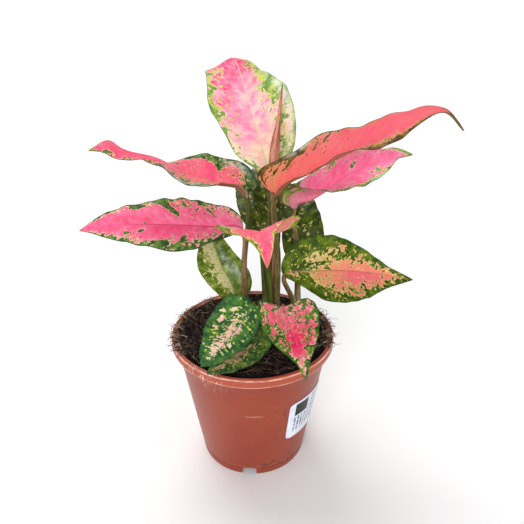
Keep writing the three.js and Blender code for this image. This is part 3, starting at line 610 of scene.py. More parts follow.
def half_width(t, half):
    """Smooth curve through the widths at the stations."""
    x = np.array(STATIONS)
    y = np.array([BLADE_ROOT, *half, BLADE_TIP])
    k = np.arange(len(x))
    before, after = np.maximum(k - 1, 0), np.minimum(k + 1, len(x) - 1)
    slope = (y[after] - y[before]) / (x[after] - x[before])
    i = np.clip(np.searchsorted(x, t), 1, len(x) - 1)
    span = x[i] - x[i - 1]
    u = (t - x[i - 1]) / span
    blend = u * u * (3 - 2 * u)
    bend = u * (1 - u) * span * ((1 - u) * slope[i - 1] - u * slope[i])
    return np.maximum(y[i - 1] * (1 - blend) + y[i] * blend + bend, BLADE_TIP)


def waves(rng, t, counts, least, most):
    """Sum of waves along a blade, each with a random height and start."""
    return sum(rng.uniform(least, most) * np.sin(2 * np.pi * (n * t + rng.uniform())) for n in counts)


def blade_half(leaf, k, t, share, length, rng):
    """Distances out, up, along and across for the points of one half of a blade."""
    ragged = waves(rng, t, (3, 5, 8, 11), 0.3, 1)
    half = half_width(t, leaf["halves"][k])
    half = half * (1 + MARGIN_RAGGED * ragged * np.sin(np.pi * t))
    fold = np.radians(spread(leaf["fold"][k], t))
    curl = np.radians(spread(leaf["curl"][k], t))
    angle = fold[:, None] + curl[:, None] * (share[1:] + share[:-1]) / 2
    step = np.diff(share) * half[:, None]
    none = np.zeros(len(t))
    reach = np.c_[none, np.cumsum(np.cos(angle) * step, 1)]
    rise = np.c_[none, np.cumsum(np.sin(angle) * step, 1)]
    height, count, start = leaf["wave"]
    swell = np.sqrt(np.clip(np.sin(np.pi * t), 0, 1))
    swing = height * np.sin(2 * np.pi * (count * t + (start + SIDE_PHASE * k))) * swell
    ripple = waves(rng, t, (4, 6, 9), 0.2, 0.5)
    d = share * half[:, None]
    s = t[:, None] * length + 0 * d
    vein = s - VEIN_SLOPE * d - VEIN_BEND * d * d
    relief = VEIN_RELIEF * np.cos(2 * np.pi * vein / VEIN_SPACING)
    relief = relief * smoothstep(1.5, 6, d) * smoothstep(1.0, 0.75, share) * np.sin(np.pi * t)[:, None]
    groove = -GROOVE_DEPTH * np.exp(-(d / GROOVE_WIDTH) ** 2) * (1 - 0.7 * t)[:, None]
    lift = rise + swing[:, None] * share ** 2 + (ripple * np.sin(np.pi * t))[:, None] * share ** 3
    return reach, lift + relief + groove, s, d


def blade_surface(leaf, seed):
    """Upper side of a blade as a grid, with each point's distance along and across in millimetres."""
    rng = np.random.default_rng(seed)
    points = leaf["stalk"] + leaf["midrib"]
    spine, length = smooth_line(points, len(leaf["stalk"]), len(points) - 1, BLADE_ROWS + 1)
    t = np.linspace(0, 1, BLADE_ROWS + 1)
    along = unit(np.gradient(spine, axis=0))
    faces = np.asarray(leaf["face"], float)
    out = square_to(np.stack([spread(faces[:, k], t) for k in range(3)], 1), along)
    across = np.cross(along, out)
    even = np.linspace(0, 1, BLADE_COLUMNS + 1)
    share = 0.55 * even + 0.45 * (1 - np.cos(np.pi * even)) / 2
    halves = []
    for k, side in enumerate((-1, 1)):
        reach, lift, s, d = blade_half(leaf, k, t, share, length, rng)
        outer = np.maximum(d - BLADE_ROOT, 0) / max(leaf["halves"][k])
        back = leaf["lobe"][k] * outer ** 1.5 * (1 - t)[:, None] ** 3
        grid = (spine[:, None] + side * reach[..., None] * across[:, None] + lift[..., None] * out[:, None]
                - back[..., None] * along[:, None])
        halves.append((grid, s, side * d, side * share + 0 * d))
    return [np.concatenate([a[:, :0:-1], b], 1) for a, b in zip(*halves)], t, out


def painted(spots, t, v):
    """Sum of soft spots on a blade, drawn out along its side veins."""
    total = 0 * v
    for t0, v0, length, width, amount in spots:
        along = t - t0 - VEIN_LEAN * (np.abs(v) - abs(v0))
        total = total + amount * np.exp(-(along / length) ** 2 - ((v - v0) / width) ** 2)
    return total


def blade_mesh(leaf, looks):
    """A closed blade with its midrib below, and what its pattern is drawn from at each point."""
    (upper, s, d, v), t, out = blade_surface(leaf, looks["seed"])
    reach = np.where(v < 0, spread(looks["reach"][0], t)[:, None], spread(looks["reach"][1], t)[:, None])
    bias = reach - np.abs(v) + painted(looks["spots"], t[:, None], v)
    depth = spread(looks["depth"], t)[:, None] + painted(looks["glow"], t[:, None], v)
    islets = spread(looks["islets"], t)[:, None] + 0 * v
    sheen = painted(looks["sheen"], t[:, None], v)
    flecks = spread(looks["flecks"], t)[:, None] + 0 * v
    normal = unit(np.cross(np.gradient(upper, axis=1), np.gradient(upper, axis=0)))
    normal[0] = out[0]
    thick = BLADE_THICK + (MARGIN_THICK - BLADE_THICK) * v ** 2
    fade = (1 - t)[:, None]
    wide = RIB_WIDTH * fade ** 0.8 + 0.3
    rib = (RIB_DEPTH * fade ** 0.9 + 0.1) * np.sqrt(np.clip(1 - (d / wide) ** 2, 0, 1))
    lower = upper - normal * (thick + rib)[..., None]
    rows, columns = v.shape
    vertices = [upper.reshape(-1, 3), lower.reshape(-1, 3)]
    count = rows * columns
    at = lambda i, j: i * columns + j
    faces = []
    for i in range(rows - 1):
        for j in range(columns - 1):
            quad = (at(i, j), at(i + 1, j), at(i + 1, j + 1), at(i, j + 1))
            faces.append(quad)
            faces.append(tuple(count + q for q in reversed(quad)))
    start = 2 * count
    along, one, none = np.repeat(t, columns), np.ones(count), 0 * v
    flat = [x.ravel() for x in (s, d, v, along, one, bias, depth, islets, flecks, sheen, none, none)]
    table = [np.concatenate([x, x]) for x in flat]
    table[4][count:] = 0
    flat[4] = flat[4] * 0.5
    for j, inner in ((0, 1), (columns - 1, columns - 2)):
        away = unit(upper[:, j] - upper[:, inner])
        edge = (upper[:, j] + lower[:, j]) / 2 + away * MARGIN_ROUND
        vertices.append(edge)
        for n, x in enumerate(flat):
            table[n] = np.concatenate([table[n], x[j::columns]])
        for i in range(rows - 1):
            top = (at(i, j), at(i + 1, j))
            mid = (start + i, start + i + 1)
            low = (count + at(i, j), count + at(i + 1, j))
            pair = [(top[0], mid[0], mid[1], top[1]), (mid[0], low[0], low[1], mid[1])]
            faces += pair if j == 0 else [tuple(reversed(q)) for q in pair]
        for i, turned in ((0, j == 0), (rows - 1, j != 0)):
            corner = (at(i, j), start + i, count + at(i, j))
            faces.append(tuple(reversed(corner)) if turned else corner)
        start += rows
    for j in range(columns - 1):
        faces.append((at(0, j), at(0, j + 1), count + at(0, j + 1), count + at(0, j)))
        end = rows - 1
        faces.append((at(end, j + 1), at(end, j), count + at(end, j), count + at(end, j + 1)))
    faces = [tuple(reversed(face)) for face in faces]
    names = ("leaf_place", "leaf_kind", "leaf_tint", "leaf_sheen")
    stores = zip(names, (table[:3], table[3:6], table[6:9], table[9:]))
    return np.vstack(vertices), faces, [(key, np.stack(columns, 1)) for key, columns in stores]


# Stalks, stems and the rolled new leaf

def tube(line, reference, radius_at, sides):
    """Rings of points along a line. radius_at(t, angle) gives the radius; angle 0 looks along reference."""
    along = unit(np.gradient(line, axis=0))
    t = np.linspace(0, 1, len(line))
    angles = np.linspace(-np.pi, np.pi, sides, endpoint=False)
    first = np.zeros_like(line)
    turn = np.asarray(reference, float)
    for i in range(len(line) - 1, -1, -1):
        turn = square_to(turn, along[i])
        first[i] = turn
    vertices = rings_round(line, along, first, angles, radius_at(t[:, None], angles[None]))
    around = np.broadcast_to(angles / np.pi, (len(line), sides)).ravel()
    return vertices, tube_faces(len(line), sides), np.repeat(t, sides), around


def gather(parts):
    """Several (vertices, faces, attribute) meshes as one."""
    vertices, faces, stores, start = [], [], [], 0
    for points, polygons, store in parts:
        vertices.append(points)
        stores.append(store)
        faces += [tuple(start + q for q in polygon) for polygon in polygons]
        start += len(points)
    return np.vstack(vertices), faces, np.vstack(stores)


def stalk_mesh(leaf, tone):
    """A petiole with a channel along its upper side, and winged edges near the soil."""
    points = leaf["stalk"] + leaf["midrib"][:2]
    line, length = smooth_line(points, 0, len(leaf["stalk"]), STALK_STEPS + 1)
    t = np.linspace(0, 1, STALK_STEPS + 1)
    along = unit(np.gradient(line, axis=0))
    out = square_to(np.asarray(leaf["face"][0], float), along[-1])
    sink = 0.8 * STALK_TOP * smoothstep(0.88, 1, t)
    line = line - sink[:, None] * out

    def radius_at(share, angle):
        radius = STALK_BOTTOM + (STALK_TOP - STALK_BOTTOM) * np.sqrt(share)
        sheath = smoothstep(0.6, 0.3, share)
        channel = np.exp(-(angle / 0.5) ** 2) * (0.12 + 0.3 * sheath)
        wing = np.exp(-((np.abs(angle) - 0.85) / 0.22) ** 2) * 0.22 * sheath
        return radius * (1 - channel + wing)

    vertices, faces, run, around = tube(line, out, radius_at, STALK_SIDES)
    return vertices, faces, np.stack([run * length, around * 5, np.full(len(run), tone)], 1)


def stem_mesh(at, radius):
    """A short stem with slight ridges, rounded off at its top."""
    vertices = []
    for i in range(STEM_RINGS):
        share = i / (STEM_RINGS - 1)
        height = STEM_BOTTOM + (STEM_TOP - STEM_BOTTOM) * min(1, share * 1.12)
        wide = radius * max(math.cos(max(share - 0.7, 0) / 0.3 * math.pi / 2), 0.01) ** 0.6
        for j in range(STEM_SIDES):
            angle = 2 * math.pi * j / STEM_SIDES
            bump = 1 + 0.05 * math.sin(3 * angle + at[0]) + 0.03 * math.sin(7 * angle + 9 * share)
            x, y = polar(wide * bump, angle)
            vertices.append((at[0] + x, at[1] + y, height))
    vertices = np.array(vertices)
    around = np.arctan2(vertices[:, 1] - at[1], vertices[:, 0] - at[0])
    store = np.stack([vertices[:, 2] - STEM_BOTTOM, around, np.full(len(vertices), STEM_TONE)], 1)
    return vertices, tube_faces(STEM_RINGS, STEM_SIDES), store


def spear_mesh():
    """The rolled leaf, wound about its own midrib with one seam."""
    points = SPEAR_STALK + SPEAR
    line, length = smooth_line(points, len(SPEAR_STALK), len(points) - 1, SPEAR_POINTS)

    def seam_at(t, angle):
        return (angle - SPEAR_TWIST * t) % (2 * np.pi) / (2 * np.pi)

    def radius_at(t, angle):
        return spread(SPEAR_RADII, t.ravel())[:, None] * (1.12 - 0.3 * seam_at(t, angle))

    vertices, faces, run, around = tube(line, SPEAR_FACE, radius_at, SPEAR_SIDES)
    return vertices, faces, np.stack([run * length, around * 5, seam_at(run, around * np.pi)], 1)


# Pot

def wall_radius(height):
    return FOOT_RADIUS + (NECK_RADIUS - FOOT_RADIUS) * height / NECK_HEIGHT


def revolve(profile, segments):
    """Closed solid from a profile of (radius, height) whose first and last points are on the axis."""
    rings = [point for point in profile if point[0] > 0]
    angles = np.linspace(0, 2 * np.pi, segments, endpoint=False)
    vertices = [np.stack([r * np.cos(angles), r * np.sin(angles), np.full(segments, z)], 1) for r, z in rings]
    ends = np.array([[0, 0, profile[0][1]], [0, 0, profile[-1][1]]])
    return np.vstack([*vertices, ends]), closed_faces(len(rings), segments)


def arc(centre, radius, start, end, steps):
    angles = np.radians(np.linspace(start, end, steps))
    return [(centre[0] + radius * math.cos(a), centre[1] + radius * math.sin(a)) for a in angles]


def pot_profile():
    inside = lambda height: wall_radius(height) - WALL
    groove = GROOVE_HEIGHT
    floor_top = FLOOR_HEIGHT + WALL
    wall = [(wall_radius(h), h) for h in np.linspace(groove + 1, NECK_HEIGHT - 1.2, 9)]
    return [
        (0, FLOOR_HEIGHT), (DRAIN_CIRCLE, FLOOR_HEIGHT), (inside(FLOOR_HEIGHT) - 1, FLOOR_HEIGHT),
        (inside(FLOOR_HEIGHT), FLOOR_HEIGHT - 0.6), (inside(0) + 0.1, 0.3), (inside(0) + 0.4, 0),
        (wall_radius(0) - 0.5, 0), (wall_radius(0) - 0.1, 0.25), (wall_radius(0.8), 0.8),
        (wall_radius(groove - 0.7), groove - 0.7), (wall_radius(groove) - 0.35, groove - 0.1),
        (wall_radius(groove) + 0.02, groove + 0.4), *wall,
        (wall_radius(NECK_HEIGHT) + 0.3, NECK_HEIGHT - 0.35), (RIM_RADIUS - 1.7, NECK_HEIGHT),
        *arc((RIM_RADIUS - 0.9, NECK_HEIGHT + 0.9), 0.9, -80, 0, 5),
        (RIM_RADIUS - 0.05, NECK_HEIGHT + 2.6), (RIM_RADIUS - 0.28, POT_HEIGHT - 3.5),
        (RIM_RADIUS - 0.05, POT_HEIGHT - 2.4),
        *arc((RIM_RADIUS - 1.9, POT_HEIGHT - 1.9), 1.9, 0, 180, 13),
        (RIM_RADIUS - 4.1, POT_HEIGHT - 3.5), (inside(NECK_HEIGHT) + 0.4, NECK_HEIGHT + 1.5),
        *[(inside(h), h) for h in np.linspace(NECK_HEIGHT - 0.5, floor_top + 1.5, 6)],
        (inside(floor_top) - 1, floor_top), (DRAIN_CIRCLE, floor_top), (0, floor_top),
    ]


def cut(piece, cutters):
    """Cuts closed meshes out of a piece and removes them."""
    for cutter in cutters:
        modifier = piece.modifiers.new("cut", "BOOLEAN")
        modifier.operation = "DIFFERENCE"
        modifier.solver = "EXACT"
        modifier.object = cutter
    bpy.context.view_layer.update()
    graph = bpy.context.evaluated_depsgraph_get()
    done = piece.evaluated_get(graph)
    mesh = bpy.data.meshes.new_from_object(done, preserve_all_data_layers=True, depsgraph=graph)
    piece.modifiers.clear()
    old = piece.data
    piece.data = mesh
    bpy.data.meshes.remove(old)
    mesh.name = piece.name
    for cutter in cutters:
        bpy.data.objects.remove(cutter)


def prism(start, end):
    """A closed cutter between two outlines of as many points."""
    return new_object("cutter", new_mesh("cutter", np.vstack([start, end]), tube_faces(2, len(start))))


def notch_cutter(outline, turn):
    """Outline in (across, up), pushed out through the foot ring along a radius of the pot."""
    angle = math.radians(turn)
    radial = np.array([math.cos(angle), math.sin(angle), 0])
    across = np.array([-math.sin(angle), math.cos(angle), 0])
    up = np.array([0, 0, 1.0])
    start = np.array([radial * (FOOT_RADIUS - NOTCH_INWARD) + across * a + up * b for a, b in outline])
    return prism(start, start + radial * (NOTCH_INWARD + CUT_PAST))


def drain_cutter(turn):
    x, y = polar(DRAIN_CIRCLE, turn)
    circle = [polar(DRAIN_RADIUS, a) for a in np.linspace(0, 2 * math.pi, DRAIN_SIDES, endpoint=False)]
    heights = (FLOOR_HEIGHT - CUT_PAST, FLOOR_HEIGHT + WALL + CUT_PAST)
    return prism(*[[(x + across, y + deep, height) for across, deep in circle] for height in heights])


def make_pot(material):
    vertices, faces = revolve(pot_profile(), POT_SIDES)
    piece = add_piece("nursery_pot", vertices, faces, material, "pot_plastic", "pot")
    half = NOTCH_WIDTH / 2
    side, top = half - NOTCH_CORNER, NOTCH_HEIGHT - NOTCH_CORNER
    outline = [(-half, -2), (half, -2), *arc((side, top), NOTCH_CORNER, 0, 90, 5),
               *arc((-side, top), NOTCH_CORNER, 90, 180, 5)]
    cutters = [notch_cutter(outline, NOTCH_TURN + 360 * i / NOTCH_COUNT) for i in range(NOTCH_COUNT)]
    cutters += [drain_cutter(2 * math.pi * i / DRAIN_COUNT) for i in range(DRAIN_COUNT)]
    cut(piece, cutters)
    sharpen(piece, SHARP_ANGLE)


def sharpen(piece, degrees):
    """Keeps edges over an angle crisp on a smooth-shaded piece."""
    mesh = piece.data
    mesh.shade_smooth()
    mesh.set_sharp_from_angle(angle=math.radians(degrees))


# Soil and fibres

def soil_height(x, y):
    radius = np.hypot(x, y) / NECK_RADIUS
    lumps = np.sin(x * 0.31 + 1) * np.cos(y * 0.27) + 0.6 * np.sin(x * 0.17 - y * 0.23)
    return SOIL_TOP + SOIL_DOME * (1 - radius * radius) + 0.7 * lumps


def crumbs(x, y):
    """Height of the rough surface over the smooth one."""
    point = Vector((x, y, 3.0))
    rough = noise.fractal(point * 0.16, 0.9, 2.1, 5) * 1.6
    grain = noise.fractal(point * 0.6, 0.8, 2.0, 3) * 0.8
    return rough + grain


def rough_height(x, y):
    edge = math.hypot(x, y) / NECK_RADIUS
    bank = min(max((edge - BANK_START) / BANK_WIDE, 0.0), 1.0)
    return float(soil_height(x, y)) + crumbs(x, y) + SOIL_BANK * bank * bank * (3 - 2 * bank)


def soil_mesh():
    """The compost from its rough surface down to the floor of the pot."""
    outer = wall_radius(SOIL_TOP) - WALL + 0.8
    bottom = FLOOR_HEIGHT + WALL + 0.4
    vertices = []
    for i in range(1, SOIL_RINGS + 1):
        radius = outer * (i / SOIL_RINGS) ** 0.8
        for j in range(SOIL_SIDES):
            x, y = polar(radius, 2 * math.pi * (j + 0.5 * (i % 2)) / SOIL_SIDES)
            vertices.append((x, y, rough_height(x, y)))
    for height in (SOIL_TOP - 8, 40, bottom):
        radius = wall_radius(height) - WALL - 0.4
        vertices += [(*polar(radius, 2 * math.pi * j / SOIL_SIDES), height) for j in range(SOIL_SIDES)]
    vertices += [(0, 0, rough_height(0, 0)), (0, 0, bottom)]
    faces = [(face[0], *face[:0:-1]) for face in closed_faces(SOIL_RINGS + 3, SOIL_SIDES)]
    return np.array(vertices), faces


def strand(points, radius, tone):
    """A three-sided fibre along the points, thinner towards its ends."""
    along = unit(np.gradient(points, axis=0))
    first = square_to(np.broadcast_to([0.13, 0.21, 1.0], points.shape), along)
    angles = np.linspace(0, 2 * np.pi, 3, endpoint=False)
    taper = radius * (1 - 0.6 * np.abs(np.linspace(-1, 1, len(points))) ** 3)
    vertices = rings_round(points, along, first, angles, taper[:, None])
    return vertices, tube_faces(len(points), 3), np.tile([tone, radius, 0.0], (len(vertices), 1))


def fibre_mesh():
    """Loose strands that lie on the soil, and some that stand up from it."""
    rng = np.random.default_rng(FIBRE_SEED)
    parts = []
    for _ in range(FIBRE_COUNT):
        x, y = polar(FIBRE_REACH * math.sqrt(rng.uniform(0.02, 1)), rng.uniform(0, 2 * math.pi))
        heading = rng.uniform(0, 2 * math.pi)
        bend = rng.normal(0, 0.22)
        length = rng.uniform(5, 22)
        upright = rng.random() < 0.22
        rise = rng.uniform(0.5, 3.5) if upright else rng.uniform(0.0, 0.9)
        points = []
        for i in range(FIBRE_STEPS):
            if math.hypot(x, y) > FIBRE_REACH:
                heading = math.atan2(-y, -x) + rng.normal(0, 0.5)
            share = i / (FIBRE_STEPS - 1)
            arch = rise * (share ** 1.3 * 1.8 if upright else math.sin(math.pi * share))
            points.append((x, y, rough_height(x, y) + 0.12 + arch))
            x += length / FIBRE_STEPS * math.cos(heading)
            y += length / FIBRE_STEPS * math.sin(heading)
            heading += bend + rng.normal(0, 0.15)
        tone = rng.choice([0.15, 0.4, 0.75, 1.0], p=[0.52, 0.32, 0.13, 0.03])
        parts.append(strand(np.array(points), rng.uniform(0.07, 0.17), tone))
    return parts


def rim_fibre_mesh():
    """Loose strands that hang over the rim."""
    rng = np.random.default_rng(RIM_FIBRE_SEED)
    parts = []
    for _ in range(RIM_FIBRE_COUNT):
        turn = math.radians(rng.normal(rng.choice(RIM_TUFTS), 4.5))
        radius = rng.uniform(51, 57)
        lean = turn + rng.normal(0, 1.3)
        length = rng.uniform(3, 11) + 5 * rng.random() ** 4
        height = POT_HEIGHT - 3 + rng.uniform(0, 1.5)
        climb = rng.uniform(0.05, 0.6)
        bend = rng.normal(0, 0.3)
        x, y = polar(radius, turn)
        points = []
        for i in range(RIM_FIBRE_STEPS):
            share = i / (RIM_FIBRE_STEPS - 1)
            floor = POT_HEIGHT + 0.25 if RIM_BAND[0] < math.hypot(x, y) < RIM_BAND[1] else 0
            z = height + climb * length * math.sin(share * 2.2) * 0.7
            points.append((x, y, max(z, floor)))
            x += length / RIM_FIBRE_STEPS * math.cos(lean)
            y += length / RIM_FIBRE_STEPS * math.sin(lean)
            lean += bend
        parts.append(strand(np.array(points), rng.uniform(0.1, 0.26), rng.choice([0.15, 0.4, 0.65, 0.92])))
    return parts


def lump_mesh():
    """Small angular bits of husk on the surface."""
    rng = np.random.default_rng(LUMP_SEED)
    gold = (1 + math.sqrt(5)) / 2
    corners = unit(np.array([(a, b * gold, 0) for a in (-1, 1) for b in (-1, 1)]
                            + [(0, a, b * gold) for a in (-1, 1) for b in (-1, 1)]
                            + [(b * gold, 0, a) for a in (-1, 1) for b in (-1, 1)]))
    faces = icosahedron_faces(corners)
    parts = []
    for _ in range(LUMP_COUNT):
        x, y = polar(LUMP_REACH * math.sqrt(rng.uniform(0.01, 1)), rng.uniform(0, 2 * math.pi))
        size = rng.uniform(0.5, 1.9)
        size = size * np.array([rng.uniform(0.7, 1.6), rng.uniform(0.5, 1), rng.uniform(0.4, 0.9)])
        c, s = polar(1, rng.uniform(0, 2 * math.pi))
        wide, deep, high = (corners * size * rng.uniform(0.75, 1.2, (len(corners), 1))).T
        turned = np.stack([c * wide - s * deep, s * wide + c * deep, high], 1)
        points = turned + (x, y, rough_height(x, y) + 0.2)
        tone = rng.choice([0.05, 0.2, 0.45], p=[0.6, 0.3, 0.1])
        parts.append((points, faces, np.tile([tone, 1, 0], (len(corners), 1))))
    return parts


def icosahedron_faces(corners):
    """Triangles of the 12 corners, found as the corners that lie one edge apart."""
    edge = np.min(np.linalg.norm(corners[0] - corners[1:], axis=1)) * 1.01
    near = np.linalg.norm(corners[:, None] - corners[None], axis=2) < edge
    faces = []
    for a in range(12):
        for b in range(a + 1, 12):
            for c in range(b + 1, 12):
                if near[a, b] and near[b, c] and near[a, c]:
                    outward = np.dot(np.cross(corners[b] - corners[a], corners[c] - corners[a]), corners[a])
                    faces.append((a, b, c) if outward > 0 else (a, c, b))
    return faces


# Sticker

def label_mesh():
    """A sheet with round corners, bent to the wall of the pot."""
    rows, columns = 28, 30
    grids = []
    for lift in (LABEL_THICK, 0.0):
        grid = []
        for i in range(rows + 1):
            rise = (i / rows - 0.5) * LABEL_HEIGHT
            from_edge = min(i, rows - i) * LABEL_HEIGHT / rows
            inset = max(LABEL_CORNER - from_edge, 0)
            trim = LABEL_CORNER - math.sqrt(LABEL_CORNER ** 2 - inset ** 2)
            for j in range(columns + 1):
                run = (j / columns - 0.5) * (LABEL_WIDTH - 2 * trim)
                height = LABEL_MIDDLE + rise
                angle = math.radians(LABEL_TURN) + run / wall_radius(LABEL_MIDDLE)
                out = wall_radius(height) + LABEL_GAP + lift
                grid.append((*polar(out, angle), height, run, rise))
        grids.append(np.array(grid))
    count = (rows + 1) * (columns + 1)
    at = lambda i, j: i * (columns + 1) + j
    faces = []
    for i in range(rows):
        for j in range(columns):
            quad = (at(i, j), at(i, j + 1), at(i + 1, j + 1), at(i + 1, j))
            faces.append(quad)
            faces.append(tuple(count + q for q in reversed(quad)))
    border = [at(0, j) for j in range(columns)] + [at(i, columns) for i in range(rows)]
    border += [at(rows, j) for j in range(columns, 0, -1)] + [at(i, 0) for i in range(rows, 0, -1)]
    for i, here in enumerate(border):
        then = border[(i + 1) % len(border)]
        faces.append((here, count + here, count + then, then))
    points = np.vstack(grids)
    return points[:, :3], faces, np.c_[points[:, 3:5], np.zeros(len(points))]


# Material building

def colour(code):
    """Linear colour from a six-digit sRGB code."""
    parts = [int(code[i:i + 2], 16) / 255 for i in (0, 2, 4)]
    return (*[c / 12.92 if c <= 0.04045 else ((c + 0.055) / 1.055) ** 2.4 for c in parts], 1)


class Shading:
    """Adds nodes to a tree. Values may be numbers, colours or the outputs of other nodes."""

    def __init__(self, tree):
        self.tree = tree

    def add(self, kind, inputs=(), **settings):
        node = self.tree.nodes.new(kind)
        for key, value in settings.items():
            setattr(node, key, value)
        for key, value in dict(inputs).items():
            self.feed(node.inputs[key], value)
        return node

    def feed(self, socket, value):
        if isinstance(value, bpy.types.NodeSocket):
            self.tree.links.new(value, socket)
        else:
            socket.default_value = value

    def fill(self, sockets, **values):
        """Feeds sockets by name, with an underscore for a space."""
        for key, value in values.items():
            self.feed(sockets[key.replace("_", " ")], value)

    def math(self, operation, *values):
        return self.add("ShaderNodeMath", enumerate(values), operation=operation).outputs[0]

    def plus(self, one, other):
        return self.math("ADD", one, other)

    def minus(self, one, other):
        return self.math("SUBTRACT", one, other)

    def times(self, one, other):
        return self.math("MULTIPLY", one, other)

    def over(self, one, other):
        return self.math("DIVIDE", one, other)

    def scaled(self, value, factor, start):
        return self.math("MULTIPLY_ADD", value, factor, start)

    def absolute(self, value):
        return self.math("ABSOLUTE", value)

    def above(self, value, limit):
        return self.math("GREATER_THAN", value, limit)

    def ease(self, value, low, high):
        node = self.add("ShaderNodeMapRange", {"Value": value, "From Min": low, "From Max": high},
                        interpolation_type="SMOOTHSTEP")
        return node.outputs[0]

    def mix(self, factor, one, other, blend="MIX"):
        node = self.add("ShaderNodeMix", data_type="RGBA", blend_type=blend)
        for socket, value in zip((node.inputs[0], node.inputs[6], node.inputs[7]), (factor, one, other)):
            self.feed(socket, value)
        return node.outputs[2]

    def noise(self, vector, scale=1.0, detail=2.0, roughness=0.5, distortion=0.0):
        node = self.add("ShaderNodeTexNoise", {"Vector": vector, "Scale": scale, "Detail": detail,
                                               "Roughness": roughness, "Distortion": distortion})
        return node.outputs["Fac"]

    def vector(self, x, y, z):
        return self.add("ShaderNodeCombineXYZ", {"X": x, "Y": y, "Z": z}).outputs[0]

    def split(self, vector):
        node = self.add("ShaderNodeSeparateXYZ", {"Vector": vector})
        return node.outputs[0], node.outputs[1], node.outputs[2]

    def attribute(self, name):
        return self.add("ShaderNodeAttribute", attribute_name=name).outputs["Vector"]

    def place(self):
        """The point in the plant's own frame, in metres."""
        return self.add("ShaderNodeTexCoord").outputs["Object"]

    def distance(self, place, point):
        """How far a place is from a point in millimetres about the pot's axis."""
        there = tuple(POT_AXIS + np.array(point) * MM)
        return self.add("ShaderNodeVectorMath", {0: place, 1: there}, operation="DISTANCE").outputs["Value"]

    def ramp(self, factor, stops):
        node = self.add("ShaderNodeValToRGB", {"Fac": factor})
        elements = node.color_ramp.elements
        for i, (place, code) in enumerate(stops):
            element = elements[i] if i < 2 else elements.new(place)
            element.position = place
            element.color = colour(code)
        return node.outputs["Color"]

    def bump(self, height, strength, distance):
        node = self.add("ShaderNodeBump", {"Height": height, "Strength": strength, "Distance": distance})
        return node.outputs[0]

    def group(self, tree, **inputs):
        node = self.add("ShaderNodeGroup", node_tree=tree)
        self.fill(node.inputs, **inputs)
        return node.outputs


def new_group(name, vectors, values, results):
    """A node group with vector and number inputs, and number outputs."""
    tree = bpy.data.node_groups.new(name, "ShaderNodeTree")
    sockets = [(key, "INPUT", "NodeSocketVector") for key in vectors]
    sockets += [(key, "INPUT", "NodeSocketFloat") for key in values]
    sockets += [(key, "OUTPUT", "NodeSocketFloat") for key in results]
    for key, side, kind in sockets:
        tree.interface.new_socket(key, in_out=side, socket_type=kind)
    given = tree.nodes.new("NodeGroupInput").outputs
    result = tree.nodes.new("NodeGroupOutput").inputs
    return tree, Shading(tree), given, result


def new_material(name, **settings):
    material = bpy.data.materials.new(name)
    material.use_nodes = True
    make = Shading(material.node_tree)
    surface = material.node_tree.nodes["Principled BSDF"].inputs
    make.fill(surface, **settings)
    return material, make, surface


